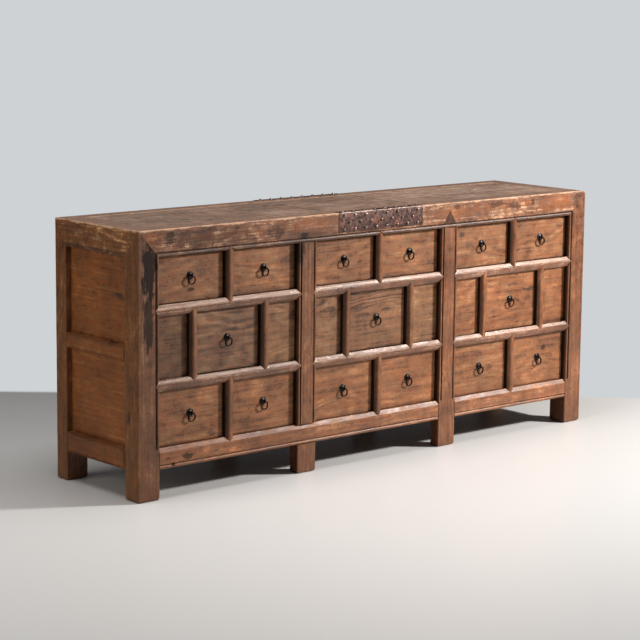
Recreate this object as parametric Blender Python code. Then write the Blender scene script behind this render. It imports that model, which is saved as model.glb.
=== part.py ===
"""Long sideboard of old elm with fifteen small drawers and ring pulls.

Three bays stand between four pairs of posts. Each bay has two drawers in the
top row, one drawer between two fixed panels in the middle row and two drawers
in the bottom row. The frame is joined by tenons, laps, grooves and three-way
mitres, two iron straps hold the middle of the top, and every drawer carries a
domed rose with an eye in which a ring swings.

Metres, Z up, the front looks towards -Y and the feet stand on Z = 0.
"""

import bpy
import bmesh
from math import cos, pi, sin
from mathutils import Vector

for leftover in list(bpy.data.objects):
    bpy.data.objects.remove(leftover, do_unlink=True)

# Whole frame
cabinet_length = 2.060
cabinet_depth = 0.460
gap = 0.0003                      # play left between two pieces that touch

# Heights, from the floor up
leg_height = 0.100
bottom_rail_height = 0.069
bottom_row_height = 0.185
middle_row_height = 0.207
top_row_height = 0.154
cross_rail_height = 0.036
top_rail_height = 0.089

# Posts
corner_post_width = 0.084
front_post_depth = 0.075
back_post_depth = 0.058
middle_post_width = 0.082
middle_post_depth = 0.040

# Mouldings worked on the front
bead_width = 0.013
bead_rise = 0.006
quirk_width = 0.002
ridge_rise = 0.007                # ridge of a cross rail or a divider before its edges
ridge_width = 0.002
flank_bulge_share = 0.42
chamfer_height = 0.014
chamfer_rise = 0.009
point_depth = 0.011               # mitred points reach this far into the face
arc_steps = 6

# Lattice of each bay
lattice_depth = 0.040
divider_width = 0.032
middle_drawer_opening = 0.265
panel_thickness = 0.012

# Sides, back and top
side_bottom_rail_height = 0.076
side_middle_rail_height = 0.050
side_rail_thickness = 0.040
side_recess = 0.020
board_thickness = 0.012
top_board_thickness = 0.020
tongue_length = 0.008
tongue_thickness = 0.008
groove_depth = 0.010

# Tenons
tenon_length = 0.020
tenon_thickness = 0.012
tenon_height_share = 0.55
long_tenon_length = 0.030
tip_height = 0.060                # pointed head of a middle post
tip_thickness = 0.015

# Drawers
front_recess = 0.020
drawer_clearance = 0.0015
drawer_top_clearance = 0.0025
drawer_front_thickness = 0.018
drawer_side_thickness = 0.010
drawer_bottom_thickness = 0.007
drawer_side_drop = 0.012          # sides stand this much lower than the front
drawer_back_space = 0.006
housing_thickness = 0.012

# Iron
rose_radius = 0.014
rose_height = 0.005
rose_rim = 0.0012
rose_steps = 14
neck_radius = 0.0022
eye_radius = 0.0042
eye_wire = 0.0014
eye_steps = 12
wire_steps = 6
ring_radius = 0.0135
ring_steps = 18
ring_wire = 0.0020
ring_stand = 0.010                # ring hangs this far in front of the drawer
rose_lift = 0.006                 # roses sit a little above the middle
strap_length = 0.388
strap_drop = 0.068
strap_reach = 0.024
strap_thickness = 0.0015
stud_radius = 0.0052
stud_rise = 0.0045
stud_steps = 6
neck_steps = 6
studs_in_long_row = 8
stud_rows_share = (0.16, 0.50, 0.84)
stud_profile_shares = ((1, 0), (0.92, 0.50), (0.60, 0.85))   # (radius, rise)
seam_outside_strap = 0.008        # cross seams of the top, past the strap ends

# Colours
elm = (0.235, 0.115, 0.055)
elm_drawer = (0.300, 0.150, 0.070)
elm_top = (0.190, 0.125, 0.085)
elm_inside = (0.260, 0.170, 0.100)
iron = (0.045, 0.040, 0.038)

# Planes and levels worked out from the sizes above
front = -cabinet_depth / 2
back = cabinet_depth / 2
left = -cabinet_length / 2
right = cabinet_length / 2

level_rail = leg_height + bottom_rail_height
bottom_row = (level_rail, level_rail + bottom_row_height)
middle_row = (bottom_row[1] + cross_rail_height,
              bottom_row[1] + cross_rail_height + middle_row_height)
top_row = (middle_row[1] + cross_rail_height,
           middle_row[1] + cross_rail_height + top_row_height)
underside = top_row[1]
top = underside + top_rail_height

bay_width = (cabinet_length - 2 * corner_post_width - 2 * middle_post_width) / 3
bays = []
for number in range(3):
    start = left + corner_post_width + number * (bay_width + middle_post_width)
    bays.append((start, start + bay_width))
middle_post_starts = [bays[0][1], bays[1][1]]

bead_edge = bead_width + quirk_width
panel_back = back - middle_post_depth - gap
panel_front = panel_back - board_thickness
housing_back = back - back_post_depth - gap
lattice_back = front + lattice_depth


def material(name, colour, roughness, metallic):
    """Principled material of one kind of stuff."""
    made = bpy.data.materials.new(name)
    made.use_nodes = True
    shader = made.node_tree.nodes["Principled BSDF"]
    shader.inputs["Base Color"].default_value = (*colour, 1)
    shader.inputs["Roughness"].default_value = roughness
    shader.inputs["Metallic"].default_value = metallic
    return made


frame_wood = material("frame elm", elm, 0.55, 0)
drawer_wood = material("drawer elm", elm_drawer, 0.55, 0)
top_wood = material("top elm", elm_top, 0.60, 0)
inside_wood = material("inside wood", elm_inside, 0.75, 0)
wrought_iron = material("wrought iron", iron, 0.50, 1)


def finish(name, mesh, stuff, origin=(0, 0, 0), smooth=False):
    """Turn a bmesh into a named object whose origin stands at a given point."""
    bmesh.ops.recalc_face_normals(mesh, faces=mesh.faces[:])
    bmesh.ops.translate(mesh, vec=-Vector(origin), verts=mesh.verts[:])
    data = bpy.data.meshes.new(name)
    mesh.to_mesh(data)
    mesh.free()
    data.materials.append(stuff)
    data.polygons.foreach_set("use_smooth", [smooth] * len(data.polygons))
    made = bpy.data.objects.new(name, data)
    made.location = origin
    bpy.context.scene.collection.objects.link(made)
    return made


def add_box(mesh, low, high):
    """Closed box between two opposite corners."""
    (x_low, y_low, z_low), (x_high, y_high, z_high) = low, high
    add_bar(mesh, [(x_low, y_low), (x_high, y_low), (x_high, y_high), (x_low, y_high)],
            "z", z_low, z_high)


def add_bar(mesh, outline, axis, start, end):
    """Closed bar: a flat outline across an axis, run along it from start to end."""
    def place(first, second):
        return {"x": (start, first, second),
                "y": (first, start, second),
                "z": (first, second, start)}[axis]
    corners = [mesh.verts.new(place(*point)) for point in outline]
    face = mesh.faces.new(corners)
    for item in bmesh.ops.extrude_face_region(mesh, geom=[face])["geom"]:
        if isinstance(item, bmesh.types.BMVert):
            item.co["xyz".index(axis)] = end


def grown(box):
    """The same box with the play of a joint all round it."""
    low, high = box
    return ([value - gap for value in low], [value + gap for value in high])


def combine(body, tool_mesh, operation):
    """Join to a body, or take from it, everything in a second bmesh."""
    tool = finish("tool", tool_mesh, body.data.materials[0])
    tool.hide_render = True
    tool.display_type = "WIRE"
    step = body.modifiers.new("joint", "BOOLEAN")
    step.operation = operation
    step.solver = "EXACT"
    step.object = tool
    tool.location -= body.location
    body_place = body.location.copy()
    body.location = (0, 0, 0)
    state = bpy.context.evaluated_depsgraph_get()
    made = bpy.data.meshes.new_from_object(body.evaluated_get(state))
    body.modifiers.clear()
    body.data = made
    body.location = body_place
    bpy.data.objects.remove(tool, do_unlink=True)


def cut(body, boxes):
    """Mortises, grooves and laps: each box leaves its own hollow."""
    tool = bmesh.new()
    for low, high in boxes:
        add_box(tool, low, high)
    combine(body, tool, "DIFFERENCE")


def grow(body, boxes):
    """Tenons and tongues: each box becomes part of the piece."""
    for low, high in boxes:
        tool = bmesh.new()
        add_box(tool, low, high)
        combine(body, tool, "UNION")


def arc(width, rise, steps=arc_steps):
    """Points of a half ellipse over a width: (across, how far below the crown)."""
    points = []
    for step in range(steps + 1):
        angle = pi * step / steps
        points.append((width / 2 * (1 - cos(angle)), rise * (1 - sin(angle))))
    return points


def face_outline(width, depth, low_bead, high_bead, chamfer=False):
    """Cross-section of a front member: (across the face, behind the face).

    A bead is a small half round separated from the flat by a quirk.
    """
    points = []
    if low_bead:
        points += arc(bead_width, bead_rise)
        points += [(bead_width + quirk_width, bead_rise), (bead_width + quirk_width, 0)]
    else:
        points += [(0, 0)]
    if high_bead:
        points += [(width - across, behind)
                   for across, behind in reversed(arc(bead_width, bead_rise)
                                                  + [(bead_width + quirk_width, bead_rise),
                                                     (bead_width + quirk_width, 0)])]
    elif chamfer:
        points += [(width - chamfer_height, 0), (width, chamfer_rise)]
    else:
        points += [(width, 0)]
    return points + [(width, depth), (0, depth)]


def ridge_outline(width, depth):
    """Cross-section of a lattice member: two bulging flanks that meet in a ridge."""
    flank = (width - ridge_width) / 2
    first = [(0, ridge_rise), (flank / 2, ridge_rise * flank_bulge_share), (flank, 0)]
    second = [(width - across, behind) for across, behind in reversed(first)]
    return first + second + [(width, depth), (0, depth)]


def trim(mesh, point, outwards):
    """Take away what lies beyond a plane and close the cut."""
    found = bmesh.ops.bisect_plane(
        mesh, geom=mesh.verts[:] + mesh.edges[:] + mesh.faces[:],
        plane_co=point, plane_no=outwards, clear_outer=True)["geom_cut"]
    edges = [item for item in found if isinstance(item, bmesh.types.BMEdge)]
    bmesh.ops.contextual_create(mesh, geom=edges)


def trim_to_point(mesh, axis, edge, towards, reach, low, width):
    """Cut the end of a bar to a point; the slopes start at its corners."""
    along, over = ("xyz".index(item) for item in (axis, "xz".replace(axis, "")))
    tip = Vector((0, 0, 0))
    tip[along], tip[over] = edge + towards * reach, low + width / 2
    for side in (-1, 1):
        outwards = Vector((0, 0, 0))
        outwards[along], outwards[over] = towards * width / 2, side * reach
        trim(mesh, tip, outwards.normalized())


def mitre(mesh, corner, reach, owner):
    """Cut one end of a member to its share of a three-way mitre.

    Three members meet at an outer corner of the top. Measured from that corner
    in shares of the joint's own size, each keeps the part that lies furthest
    along its own run.
    """
    directions = [-1 if value > 0 else 1 for value in (corner[0], corner[1])] + [-1]
    for other in range(3):
        if other == owner:
            continue
        slope = Vector((0, 0, 0))
        slope[owner] = -directions[owner] / reach[owner]
        slope[other] = directions[other] / reach[other]
        slope.normalize()
        trim(mesh, Vector(corner) - slope * gap / 2, slope)


# Boxes of the hidden joints. Each is drawn once: it grows one piece and, with
# the play round it, hollows the other.
def rail_tenon(x_end, towards, z_low, height, y_front, y_back, length):
    """Tenon at the end of a rail that runs along X."""
    middle = (y_front + y_back) / 2
    half = height * tenon_height_share / 2
    centre = z_low + height / 2
    xs = sorted((x_end - towards * length, x_end + towards * length))
    return ([xs[0], middle - tenon_thickness / 2, centre - half],
            [xs[1], middle + tenon_thickness / 2, centre + half])


def side_tenon(y_end, towards, side):
    """Tenon at the end of a bottom rail that runs along Y."""
    inner = side * (right - side_rail_thickness)
    middle = (side * right + inner) / 2
    half = side_bottom_rail_height * tenon_height_share / 2
    centre = leg_height + side_bottom_rail_height / 2
    ys = sorted((y_end - towards * tenon_length, y_end + towards * tenon_length))
    return ([middle - tenon_thickness / 2, ys[0], centre - half],
            [middle + tenon_thickness / 2, ys[1], centre + half])


def post_tenon(x_low, y_front, y_back):
    """Tenon that stands on top of a middle post."""
    middle = (y_front + y_back) / 2
    half = middle_post_width * tenon_height_share / 2
    centre = x_low + middle_post_width / 2
    return ([centre - half, middle - tenon_thickness / 2, underside - long_tenon_length],
            [centre + half, middle + tenon_thickness / 2, underside + long_tenon_length])


def divider_tenon(x_middle, z_end, towards):
    """Tenon at the end of a divider that meets the top rail or the bottom rail."""
    half = divider_width * tenon_height_share / 2
    middle = lattice_back - lattice_depth * (1 - tenon_height_share)
    zs = sorted((z_end - towards * tenon_length, z_end + towards * tenon_length))
    return ([x_middle - half, middle - tenon_thickness / 2, zs[0]],
            [x_middle + half, middle + tenon_thickness / 2, zs[1]])


def side_panel_box(side):
    """Board that fills one end, edges in grooves all round."""
    outer = side * (right - side_recess)
    inner = side * (right - side_recess - board_thickness)
    return ([min(outer, inner), front + front_post_depth - groove_depth,
             leg_height + side_bottom_rail_height - tongue_length],
            [max(outer, inner), back - back_post_depth + groove_depth,
             underside + tongue_length])


def back_panel_box():
    """Boarded back, edges in grooves of the corner posts and the two rails."""
    return ([left + corner_post_width - groove_depth, panel_front,
             level_rail - tongue_length],
            [right - corner_post_width + groove_depth, panel_back,
             underside + tongue_length])


def top_tongue_box():
    """Outline of the tongue that runs round the boards of the top."""
    z_high = top - (top_board_thickness - tongue_thickness) / 2
    return ([left + corner_post_width - tongue_length,
             front + front_post_depth - tongue_length, z_high - tongue_thickness],
            [right - corner_post_width + tongue_length,
             back - back_post_depth + tongue_length, z_high])


def lattice_rails():
    """Low edge of the two cross rails."""
    return [bottom_row[1], middle_row[1]]


def lattice_tenons(bay):
    """Tenons of one lattice into the posts on both sides of its bay."""
    x_low, x_high = bay
    boxes = []
    for level in lattice_rails():
        for x_end, towards in ((x_low, -1), (x_high, 1)):
            boxes.append(rail_tenon(x_end, towards, level, cross_rail_height,
                                    front + front_recess, lattice_back,
                                    tenon_length))
    return boxes


def divider_tenons(bay):
    """Tenons of one lattice up into the top rail and down into the bottom rail."""
    centre = sum(bay) / 2
    return [divider_tenon(centre, underside, 1), divider_tenon(centre, level_rail, -1)]


def point_cutter(axis, edge, towards, middle, half, reach, play):
    """Hollow for a mitred point: a triangle seen from the front."""
    past = 2 * gap
    spread = half + play + past * half / reach
    tip = edge + towards * (reach + play)
    base = edge - towards * past
    outline = [(base, middle - spread), (tip, middle), (base, middle + spread)]
    if axis == "z":
        outline = [(across, along) for along, across in outline]
    mesh = bmesh.new()
    add_bar(mesh, outline, "y", front - past, front + point_depth + play)
    return mesh


def rail_notches(body, bay, sides):
    """Cut the hollows in a post for the points of the cross rails of a bay."""
    for level in lattice_rails():
        for side in sides:
            edge = bay[0] if side < 0 else bay[1]
            combine(body, point_cutter("x", edge, side, level + cross_rail_height / 2,
                                       cross_rail_height / 2, bead_edge, gap),
                    "DIFFERENCE")


def divider_notches(body, level, towards, reach):
    """Cut the hollows in a long rail for the points of the dividers."""
    for bay in bays:
        combine(body, point_cutter("z", level, towards, sum(bay) / 2,
                                   divider_width / 2, reach, gap), "DIFFERENCE")


def bottom_rail_tenons(y_front, y_back):
    """Tenons of a long bottom rail into the corner posts."""
    return [rail_tenon(x_end, towards, leg_height, bottom_rail_height,
                       y_front, y_back, long_tenon_length)
            for x_end, towards in ((left + corner_post_width, -1),
                                   (right - corner_post_width, 1))]


def lap_boxes(y_shared, y_kept_by_rail):
    """Where the bottom rail crosses the middle posts: what the rail takes."""
    return [([start - gap, min(y_shared, y_kept_by_rail), leg_height - gap],
             [start + middle_post_width + gap, max(y_shared, y_kept_by_rail),
              level_rail + gap])
            for start in middle_post_starts]


# Posts
def corner_post(name, side, y_front, y_back, bead):
    """Corner post from the floor up to the three-way mitre."""
    outer = side * right
    inner = side * (right - corner_post_width)
    width = corner_post_width
    if bead:
        outline = [(inner + side * across, front + behind)
                   for across, behind in face_outline(width, front_post_depth, True, False)]
    else:
        outline = [(outer, y_front), (inner, y_front), (inner, y_back), (outer, y_back)]
    mesh = bmesh.new()
    add_bar(mesh, outline, "z", 0, top)
    is_front = y_front < 0
    corner = (outer, front if is_front else back, top)
    depth = front_post_depth if is_front else back_post_depth
    mitre(mesh, corner, (corner_post_width, depth, top_rail_height), 2)
    post = finish(name, mesh, frame_wood)
    y_inner, towards = (y_back, -1) if is_front else (y_front, 1)
    hollows = [grown(side_panel_box(side)), grown(side_tenon(y_inner, towards, side))]
    if is_front:
        bay = bays[0] if side < 0 else bays[2]
        near = [box for box in lattice_tenons(bay) if box[0][0] * side > 0
                and abs(box[0][0] + box[1][0]) / 2 > (abs(inner) - tenon_length)]
        hollows += [grown(box) for box in near]
        hollows += [grown(box) for box in bottom_rail_tenons(front, lattice_back)
                    if box[0][0] * side > 0]
    else:
        hollows += [grown(back_panel_box())]
        hollows += [grown(box) for box in bottom_rail_tenons(back - back_post_depth, back)
                    if box[0][0] * side > 0]
    cut(post, hollows)
    if is_front:
        rail_notches(post, bay, [side])
    return post


def front_middle_post(name, number):
    """Middle post of the front: pointed head above, lapped with the rail below.

    The rail passes in front of the first of them and behind the second.
    """
    start = middle_post_starts[number]
    outline = [(start + across, front + behind)
               for across, behind in face_outline(middle_post_width, middle_post_depth,
                                                  True, True)]
    mesh = bmesh.new()
    add_bar(mesh, outline, "z", 0, underside + tip_height)
    trim_to_point(mesh, "z", underside - gap, 1, tip_height, start, middle_post_width)
    post = finish(name, mesh, frame_wood)
    cut(post, [([start - gap, front + tip_thickness, underside - 2 * gap],
                [start + middle_post_width + gap, front + 2 * middle_post_depth,
                 underside + 2 * tip_height])])
    grow(post, [post_tenon(start, front, lattice_back)])
    middle = front + middle_post_depth / 2
    taken = (front - middle_post_depth, middle) if number == 0 else (
        middle, front + 2 * middle_post_depth)
    low_x, high_x = start - gap, start + middle_post_width + gap
    hollows = [([low_x, taken[0], leg_height - gap], [high_x, taken[1], level_rail + gap])]
    for bay in (bays[number], bays[number + 1]):
        hollows += [grown(box) for box in lattice_tenons(bay)
                    if start < (box[0][0] + box[1][0]) / 2 + tenon_length
                    and (box[0][0] + box[1][0]) / 2 - tenon_length < start + middle_post_width]
    cut(post, hollows)
    rail_notches(post, bays[number], [1])
    rail_notches(post, bays[number + 1], [-1])
    return post


def head_hollow(start):
    """What the top rail gives up for the head of a middle post."""
    middle, half, past = start + middle_post_width / 2, middle_post_width / 2, 2 * gap
    spread = half + gap + past * half / tip_height
    mesh = bmesh.new()
    add_bar(mesh, [(middle - spread, underside - past), (middle + spread, underside - past),
                   (middle, underside + tip_height + gap)],
            "y", front - past, front + tip_thickness + gap)
    return mesh


def back_middle_post(name, number):
    """Middle post of the back, lapped over the bottom rail."""
    start = middle_post_starts[number]
    mesh = bmesh.new()
    add_box(mesh, (start, back - middle_post_depth, 0),
            (start + middle_post_width, back, underside - gap))
    post = finish(name, mesh, frame_wood)
    grow(post, [post_tenon(start, back - middle_post_depth, back)])
    middle = back - middle_post_depth / 2
    cut(post, [([start - middle_post_width, back - back_post_depth, leg_height - gap],
                [start + 2 * middle_post_width, middle, level_rail + gap])])
    return post


# Frame of the top
def top_front_rail():
    """Front member of the top, with the bead along its lower edge."""
    outline = [(front + behind, underside + across)
               for across, behind in face_outline(top_rail_height, front_post_depth,
                                                  True, False)]
    mesh = bmesh.new()
    add_bar(mesh, outline, "x", left, right)
    reach = (corner_post_width, front_post_depth, top_rail_height)
    mitre(mesh, (left, front, top), reach, 0)
    mitre(mesh, (right, front, top), reach, 0)
    rail = finish("rail_top_front", mesh, frame_wood)
    hollows = [grown(top_tongue_box())]
    hollows += [grown(post_tenon(start, front, lattice_back)) for start in middle_post_starts]
    for bay in bays:
        hollows.append(grown(divider_tenons(bay)[0]))
    for side in (-1, 1):
        hollows.append(grown(side_panel_box(side)))
    cut(rail, hollows)
    for start in middle_post_starts:
        combine(rail, head_hollow(start), "DIFFERENCE")
    divider_notches(rail, underside, 1, bead_edge)
    return rail


def top_back_rail():
    """Back member of the top, grooved for the boarded back."""
    mesh = bmesh.new()
    add_box(mesh, (left, back - back_post_depth, underside), (right, back, top))
    reach = (corner_post_width, back_post_depth, top_rail_height)
    mitre(mesh, (left, back, top), reach, 0)
    mitre(mesh, (right, back, top), reach, 0)
    rail = finish("rail_top_back", mesh, frame_wood)
    hollows = [grown(top_tongue_box()), grown(back_panel_box())]
    hollows += [grown(post_tenon(start, back - middle_post_depth, back))
                for start in middle_post_starts]
    for side in (-1, 1):
        hollows.append(grown(side_panel_box(side)))
    cut(rail, hollows)
    return rail


def top_end_rail(name, side):
    """End member of the top, mitred at the front and at the back."""
    mesh = bmesh.new()
    xs = sorted((side * right, side * (right - corner_post_width)))
    add_box(mesh, (xs[0], front, underside), (xs[1], back, top))
    mitre(mesh, (side * right, front, top),
          (corner_post_width, front_post_depth, top_rail_height), 1)
    mitre(mesh, (side * right, back, top),
          (corner_post_width, back_post_depth, top_rail_height), 1)
    rail = finish(name, mesh, frame_wood)
    cut(rail, [grown(top_tongue_box()), grown(side_panel_box(side)),
               grown(back_panel_box())])
    return rail


def top_board(name, x_low, x_high):
    """Board of the top, its tongue held in the grooves of the frame."""
    tongue_low, tongue_high = top_tongue_box()
    mesh = bmesh.new()
    add_box(mesh, (max(x_low, left + corner_post_width + gap),
                   front + front_post_depth + gap, top - top_board_thickness),
            (min(x_high, right - corner_post_width - gap),
             back - back_post_depth - gap, top))
    board = finish(name, mesh, top_wood)
    grow(board, [([max(x_low, tongue_low[0]), tongue_low[1], tongue_low[2]],
                  [min(x_high, tongue_high[0]), tongue_high[1], tongue_high[2]])])
    return board


# Rails below
def bottom_front_rail():
    """Bottom rail of the front: chamfer above, bead below, lapped over the posts."""
    height = bottom_rail_height
    outline = [(front + behind, leg_height + across)
               for across, behind in face_outline(height, lattice_depth, True, False, True)]
    mesh = bmesh.new()
    add_bar(mesh, outline, "x", bays[0][0] + gap, bays[2][1] - gap)
    rail = finish("rail_bottom_front", mesh, frame_wood)
    grow(rail, bottom_rail_tenons(front, lattice_back))
    middle = front + middle_post_depth / 2
    hollows = lap_boxes(middle - gap, front + 2 * lattice_depth)[:1]
    hollows += lap_boxes(front - lattice_depth, middle + gap)[1:]
    for bay in bays:
        hollows.append(grown(divider_tenons(bay)[1]))
    cut(rail, hollows)
    divider_notches(rail, level_rail, -1, chamfer_height)
    return rail


def bottom_back_rail():
    """Bottom rail of the back, lapped behind the middle posts."""
    mesh = bmesh.new()
    add_box(mesh, (bays[0][0] + gap, back - back_post_depth, leg_height),
            (bays[2][1] - gap, back, level_rail))
    rail = finish("rail_bottom_back", mesh, frame_wood)
    grow(rail, bottom_rail_tenons(back - back_post_depth, back))
    middle = back - middle_post_depth / 2
    cut(rail, lap_boxes(middle - gap, back + back_post_depth) + [grown(back_panel_box())])
    return rail


def side_bottom_rail(name, side):
    """Bottom rail of one end, grooved above for the panel."""
    xs = sorted((side * right, side * (right - side_rail_thickness)))
    y_low = front + front_post_depth
    y_high = back - back_post_depth
    mesh = bmesh.new()
    add_box(mesh, (xs[0], y_low + gap, leg_height),
            (xs[1], y_high - gap, leg_height + side_bottom_rail_height))
    rail = finish(name, mesh, frame_wood)
    grow(rail, [side_tenon(y_low, -1, side), side_tenon(y_high, 1, side)])
    cut(rail, [grown(side_panel_box(side))])
    return rail


def side_panel(name, side):
    """Panel of one end with the middle rail that divides it in two."""
    mesh = bmesh.new()
    add_box(mesh, *side_panel_box(side))
    panel = finish(name, mesh, frame_wood)
    low, high = side_panel_box(side)
    xs = sorted((side * right, side * (right - side_recess - board_thickness / 2)))
    centre = (leg_height + side_bottom_rail_height + underside) / 2
    grow(panel, [([xs[0], low[1] + groove_depth + gap,
                   centre - side_middle_rail_height / 2],
                  [xs[1], high[1] - groove_depth - gap,
                   centre + side_middle_rail_height / 2])])
    return panel


def boarded_back():
    """Boards of the back, glued edge to edge."""
    mesh = bmesh.new()
    add_box(mesh, *back_panel_box())
    return finish("back_boards", mesh, inside_wood)


# Lattice: cross rails, dividers and fixed panels of one bay
def pointed_bar(axis, low, width, y_face, y_rear, ends, reaches):
    """Lattice member with a mitred point at both ends."""
    outline = [(low + across, y_face + behind)
               for across, behind in ridge_outline(width, y_rear - y_face)]
    if axis == "x":
        outline = [(behind, across) for across, behind in outline]
    mesh = bmesh.new()
    add_bar(mesh, outline, axis, ends[0] - reaches[0], ends[1] + reaches[1])
    for edge, towards, reach in zip(ends, (-1, 1), reaches):
        trim_to_point(mesh, axis, edge, towards, reach, low, width)
    return mesh


def divider_list(bay):
    """Dividers of a bay: middle, lower and upper end, reach of the lower and upper point."""
    centre, aside = sum(bay) / 2, (middle_drawer_opening + divider_width) / 2
    low_rail, high_rail = lattice_rails()
    over_low, over_high = low_rail + cross_rail_height, high_rail + cross_rail_height
    half_rail = cross_rail_height / 2
    return [(centre, level_rail, low_rail, chamfer_height, half_rail),
            (centre - aside, over_low, high_rail, half_rail, half_rail),
            (centre + aside, over_low, high_rail, half_rail, half_rail),
            (centre, over_high, underside, half_rail, bead_edge)]


def add_divider(body, middle, z_low, z_high, reach_low, reach_high):
    """Set a divider in: its points run into a cross rail or stop short of a long one."""
    ends, reaches = [], []
    for edge, towards, reach in ((z_low, -1, reach_low), (z_high, 1, reach_high)):
        short = edge in (level_rail, underside)
        ends.append(edge - towards * gap if short else edge + towards * 2 * gap)
        reaches.append(reach - gap if short else reach - 2 * gap)
        if not short:
            combine(body, point_cutter("z", edge, towards, middle, divider_width / 2,
                                       reach, -gap), "DIFFERENCE")
    combine(body, pointed_bar("z", middle - divider_width / 2, divider_width, front + gap,
                              lattice_back - gap, ends, reaches), "UNION")


def lattice(name, bay):
    """Two cross rails, four dividers and the two fixed panels of a bay."""
    x_low, x_high = bay
    centre = (x_low + x_high) / 2
    low_rail, high_rail = lattice_rails()
    bars = [pointed_bar("x", level, cross_rail_height, front, lattice_back,
                        (x_low + gap, x_high - gap), (bead_edge - gap, bead_edge - gap))
            for level in (low_rail, high_rail)]
    body = finish(name, bars[0], frame_wood)
    combine(body, bars[1], "UNION")
    for divider in divider_list(bay):
        add_divider(body, *divider)

    y_from, y_to = front + point_depth, front + 2 * lattice_depth
    rails_from, rails_to = low_rail - gap, high_rail + cross_rail_height + gap
    beside = (centre - divider_width, centre + divider_width)
    cut(body, [([x_low - bay_width, y_from, rails_from], [x_low + 2 * gap, y_to, rails_to]),
               ([x_high - 2 * gap, y_from, rails_from], [x_high + bay_width, y_to, rails_to]),
               ([beside[0], y_from, 0], [beside[1], y_to, level_rail + 2 * gap]),
               ([beside[0], y_from, underside - 2 * gap], [beside[1], y_to, top])])

    aside = (middle_drawer_opening + divider_width) / 2
    half_rail = cross_rail_height / 2
    for start, end in ((x_low + 2 * gap, centre - aside), (centre + aside, x_high - 2 * gap)):
        panel = bmesh.new()
        add_box(panel, (start, front + front_recess, low_rail + half_rail),
                (end, front + front_recess + panel_thickness, high_rail + half_rail))
        combine(body, panel, "UNION")
    grow(body, lattice_tenons(bay) + divider_tenons(bay))
    return body


def opening_list(bay):
    """Drawer openings of a bay: row name, x from and to, z from and to."""
    centre = sum(bay) / 2
    half_divider = divider_width / 2
    half_middle = middle_drawer_opening / 2
    return [("top", bay[0], centre - half_divider, *top_row),
            ("top", centre + half_divider, bay[1], *top_row),
            ("middle", centre - half_middle, centre + half_middle, *middle_row),
            ("bottom", bay[0], centre - half_divider, *bottom_row),
            ("bottom", centre + half_divider, bay[1], *bottom_row)]


def housing(name, bay):
    """Inner box of a bay: side walls, three decks and the partitions between."""
    x_low, x_high = bay
    centre = (x_low + x_high) / 2
    guide = drawer_clearance / 2
    y_front = lattice_back + gap
    z_high = underside - gap
    z_low = level_rail - housing_thickness
    mesh = bmesh.new()
    add_box(mesh, (x_low + gap, y_front, z_low), (x_high - gap, housing_back, level_rail))
    body = finish(name, mesh, inside_wood)
    boxes = []
    for level in (middle_row[0], top_row[0]):
        boxes.append(([x_low + gap, y_front, level - housing_thickness],
                      [x_high - gap, housing_back, level]))
    for x_edge, towards in ((x_low, -1), (x_high, 1)):
        at_corner = x_edge in (bays[0][0], bays[2][1])
        y_from = front + (front_post_depth if at_corner else middle_post_depth) + gap
        xs = sorted((x_edge - towards * guide, x_edge + towards * housing_thickness))
        boxes.append(([xs[0], y_from, z_low], [xs[1], housing_back, z_high]))
    half = divider_width / 2
    aside = (middle_drawer_opening + divider_width) / 2
    deck_middle = housing_thickness / 2
    for x_middle, z_from, z_to in (
            (centre, level_rail - deck_middle, middle_row[0] - deck_middle),
            (centre - aside, middle_row[0] - deck_middle, top_row[0] - deck_middle),
            (centre + aside, middle_row[0] - deck_middle, top_row[0] - deck_middle),
            (centre, top_row[0] - deck_middle, z_high)):
        boxes.append(([x_middle - half - guide, y_front, z_from],
                      [x_middle + half + guide, housing_back, z_to]))
    grow(body, boxes)
    return body


# Drawers and their pulls
def rose_and_eye(x, y, z):
    """Domed rose with the cotter-pin eye that holds the ring."""
    outline = [(0, -rose_height)]
    for step in range(1, 4):
        angle = pi / 2 * step / 4
        outline.append((rose_radius * sin(angle),
                        -rose_rim - (rose_height - rose_rim) * cos(angle)))
    outline += [(rose_radius, -rose_rim), (rose_radius, rose_rim), (0, rose_rim)]
    mesh = bmesh.new()
    turn(mesh, outline, (x, y, z), rose_steps)
    return mesh


def turn(mesh, outline, centre, steps):
    """Closed round piece: (radius, along Y) outline turned about the Y axis."""
    rings = []
    for radius, along in outline:
        if radius == 0:
            rings.append([mesh.verts.new((centre[0], centre[1] + along, centre[2]))])
        else:
            rings.append([mesh.verts.new((centre[0] + radius * cos(2 * pi * step / steps),
                                          centre[1] + along,
                                          centre[2] + radius * sin(2 * pi * step / steps)))
                          for step in range(steps)])
    for first, second in zip(rings, rings[1:]):
        for step in range(steps):
            following = (step + 1) % steps
            corners = [first[step % len(first)], first[following % len(first)],
                       second[following % len(second)], second[step % len(second)]]
            unique = list(dict.fromkeys(corners))
            mesh.faces.new(unique)


def hoop(mesh, centre, plane, radius, wire, around):
    """Closed ring of round wire; plane names the two axes it lies in."""
    loops = []
    for step in range(around):
        angle = 2 * pi * step / around
        loop = []
        for side_step in range(wire_steps):
            tilt = 2 * pi * side_step / wire_steps
            out = radius + wire * cos(tilt)
            place = {"xz": (out * cos(angle), wire * sin(tilt), out * sin(angle)),
                     "yz": (wire * sin(tilt), out * cos(angle), out * sin(angle))}[plane]
            loop.append(mesh.verts.new(Vector(centre) + Vector(place)))
        loops.append(loop)
    for step in range(around):
        first, second = loops[step], loops[(step + 1) % around]
        for side_step in range(wire_steps):
            following = (side_step + 1) % wire_steps
            mesh.faces.new((first[side_step], first[following],
                            second[following], second[side_step]))


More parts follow.
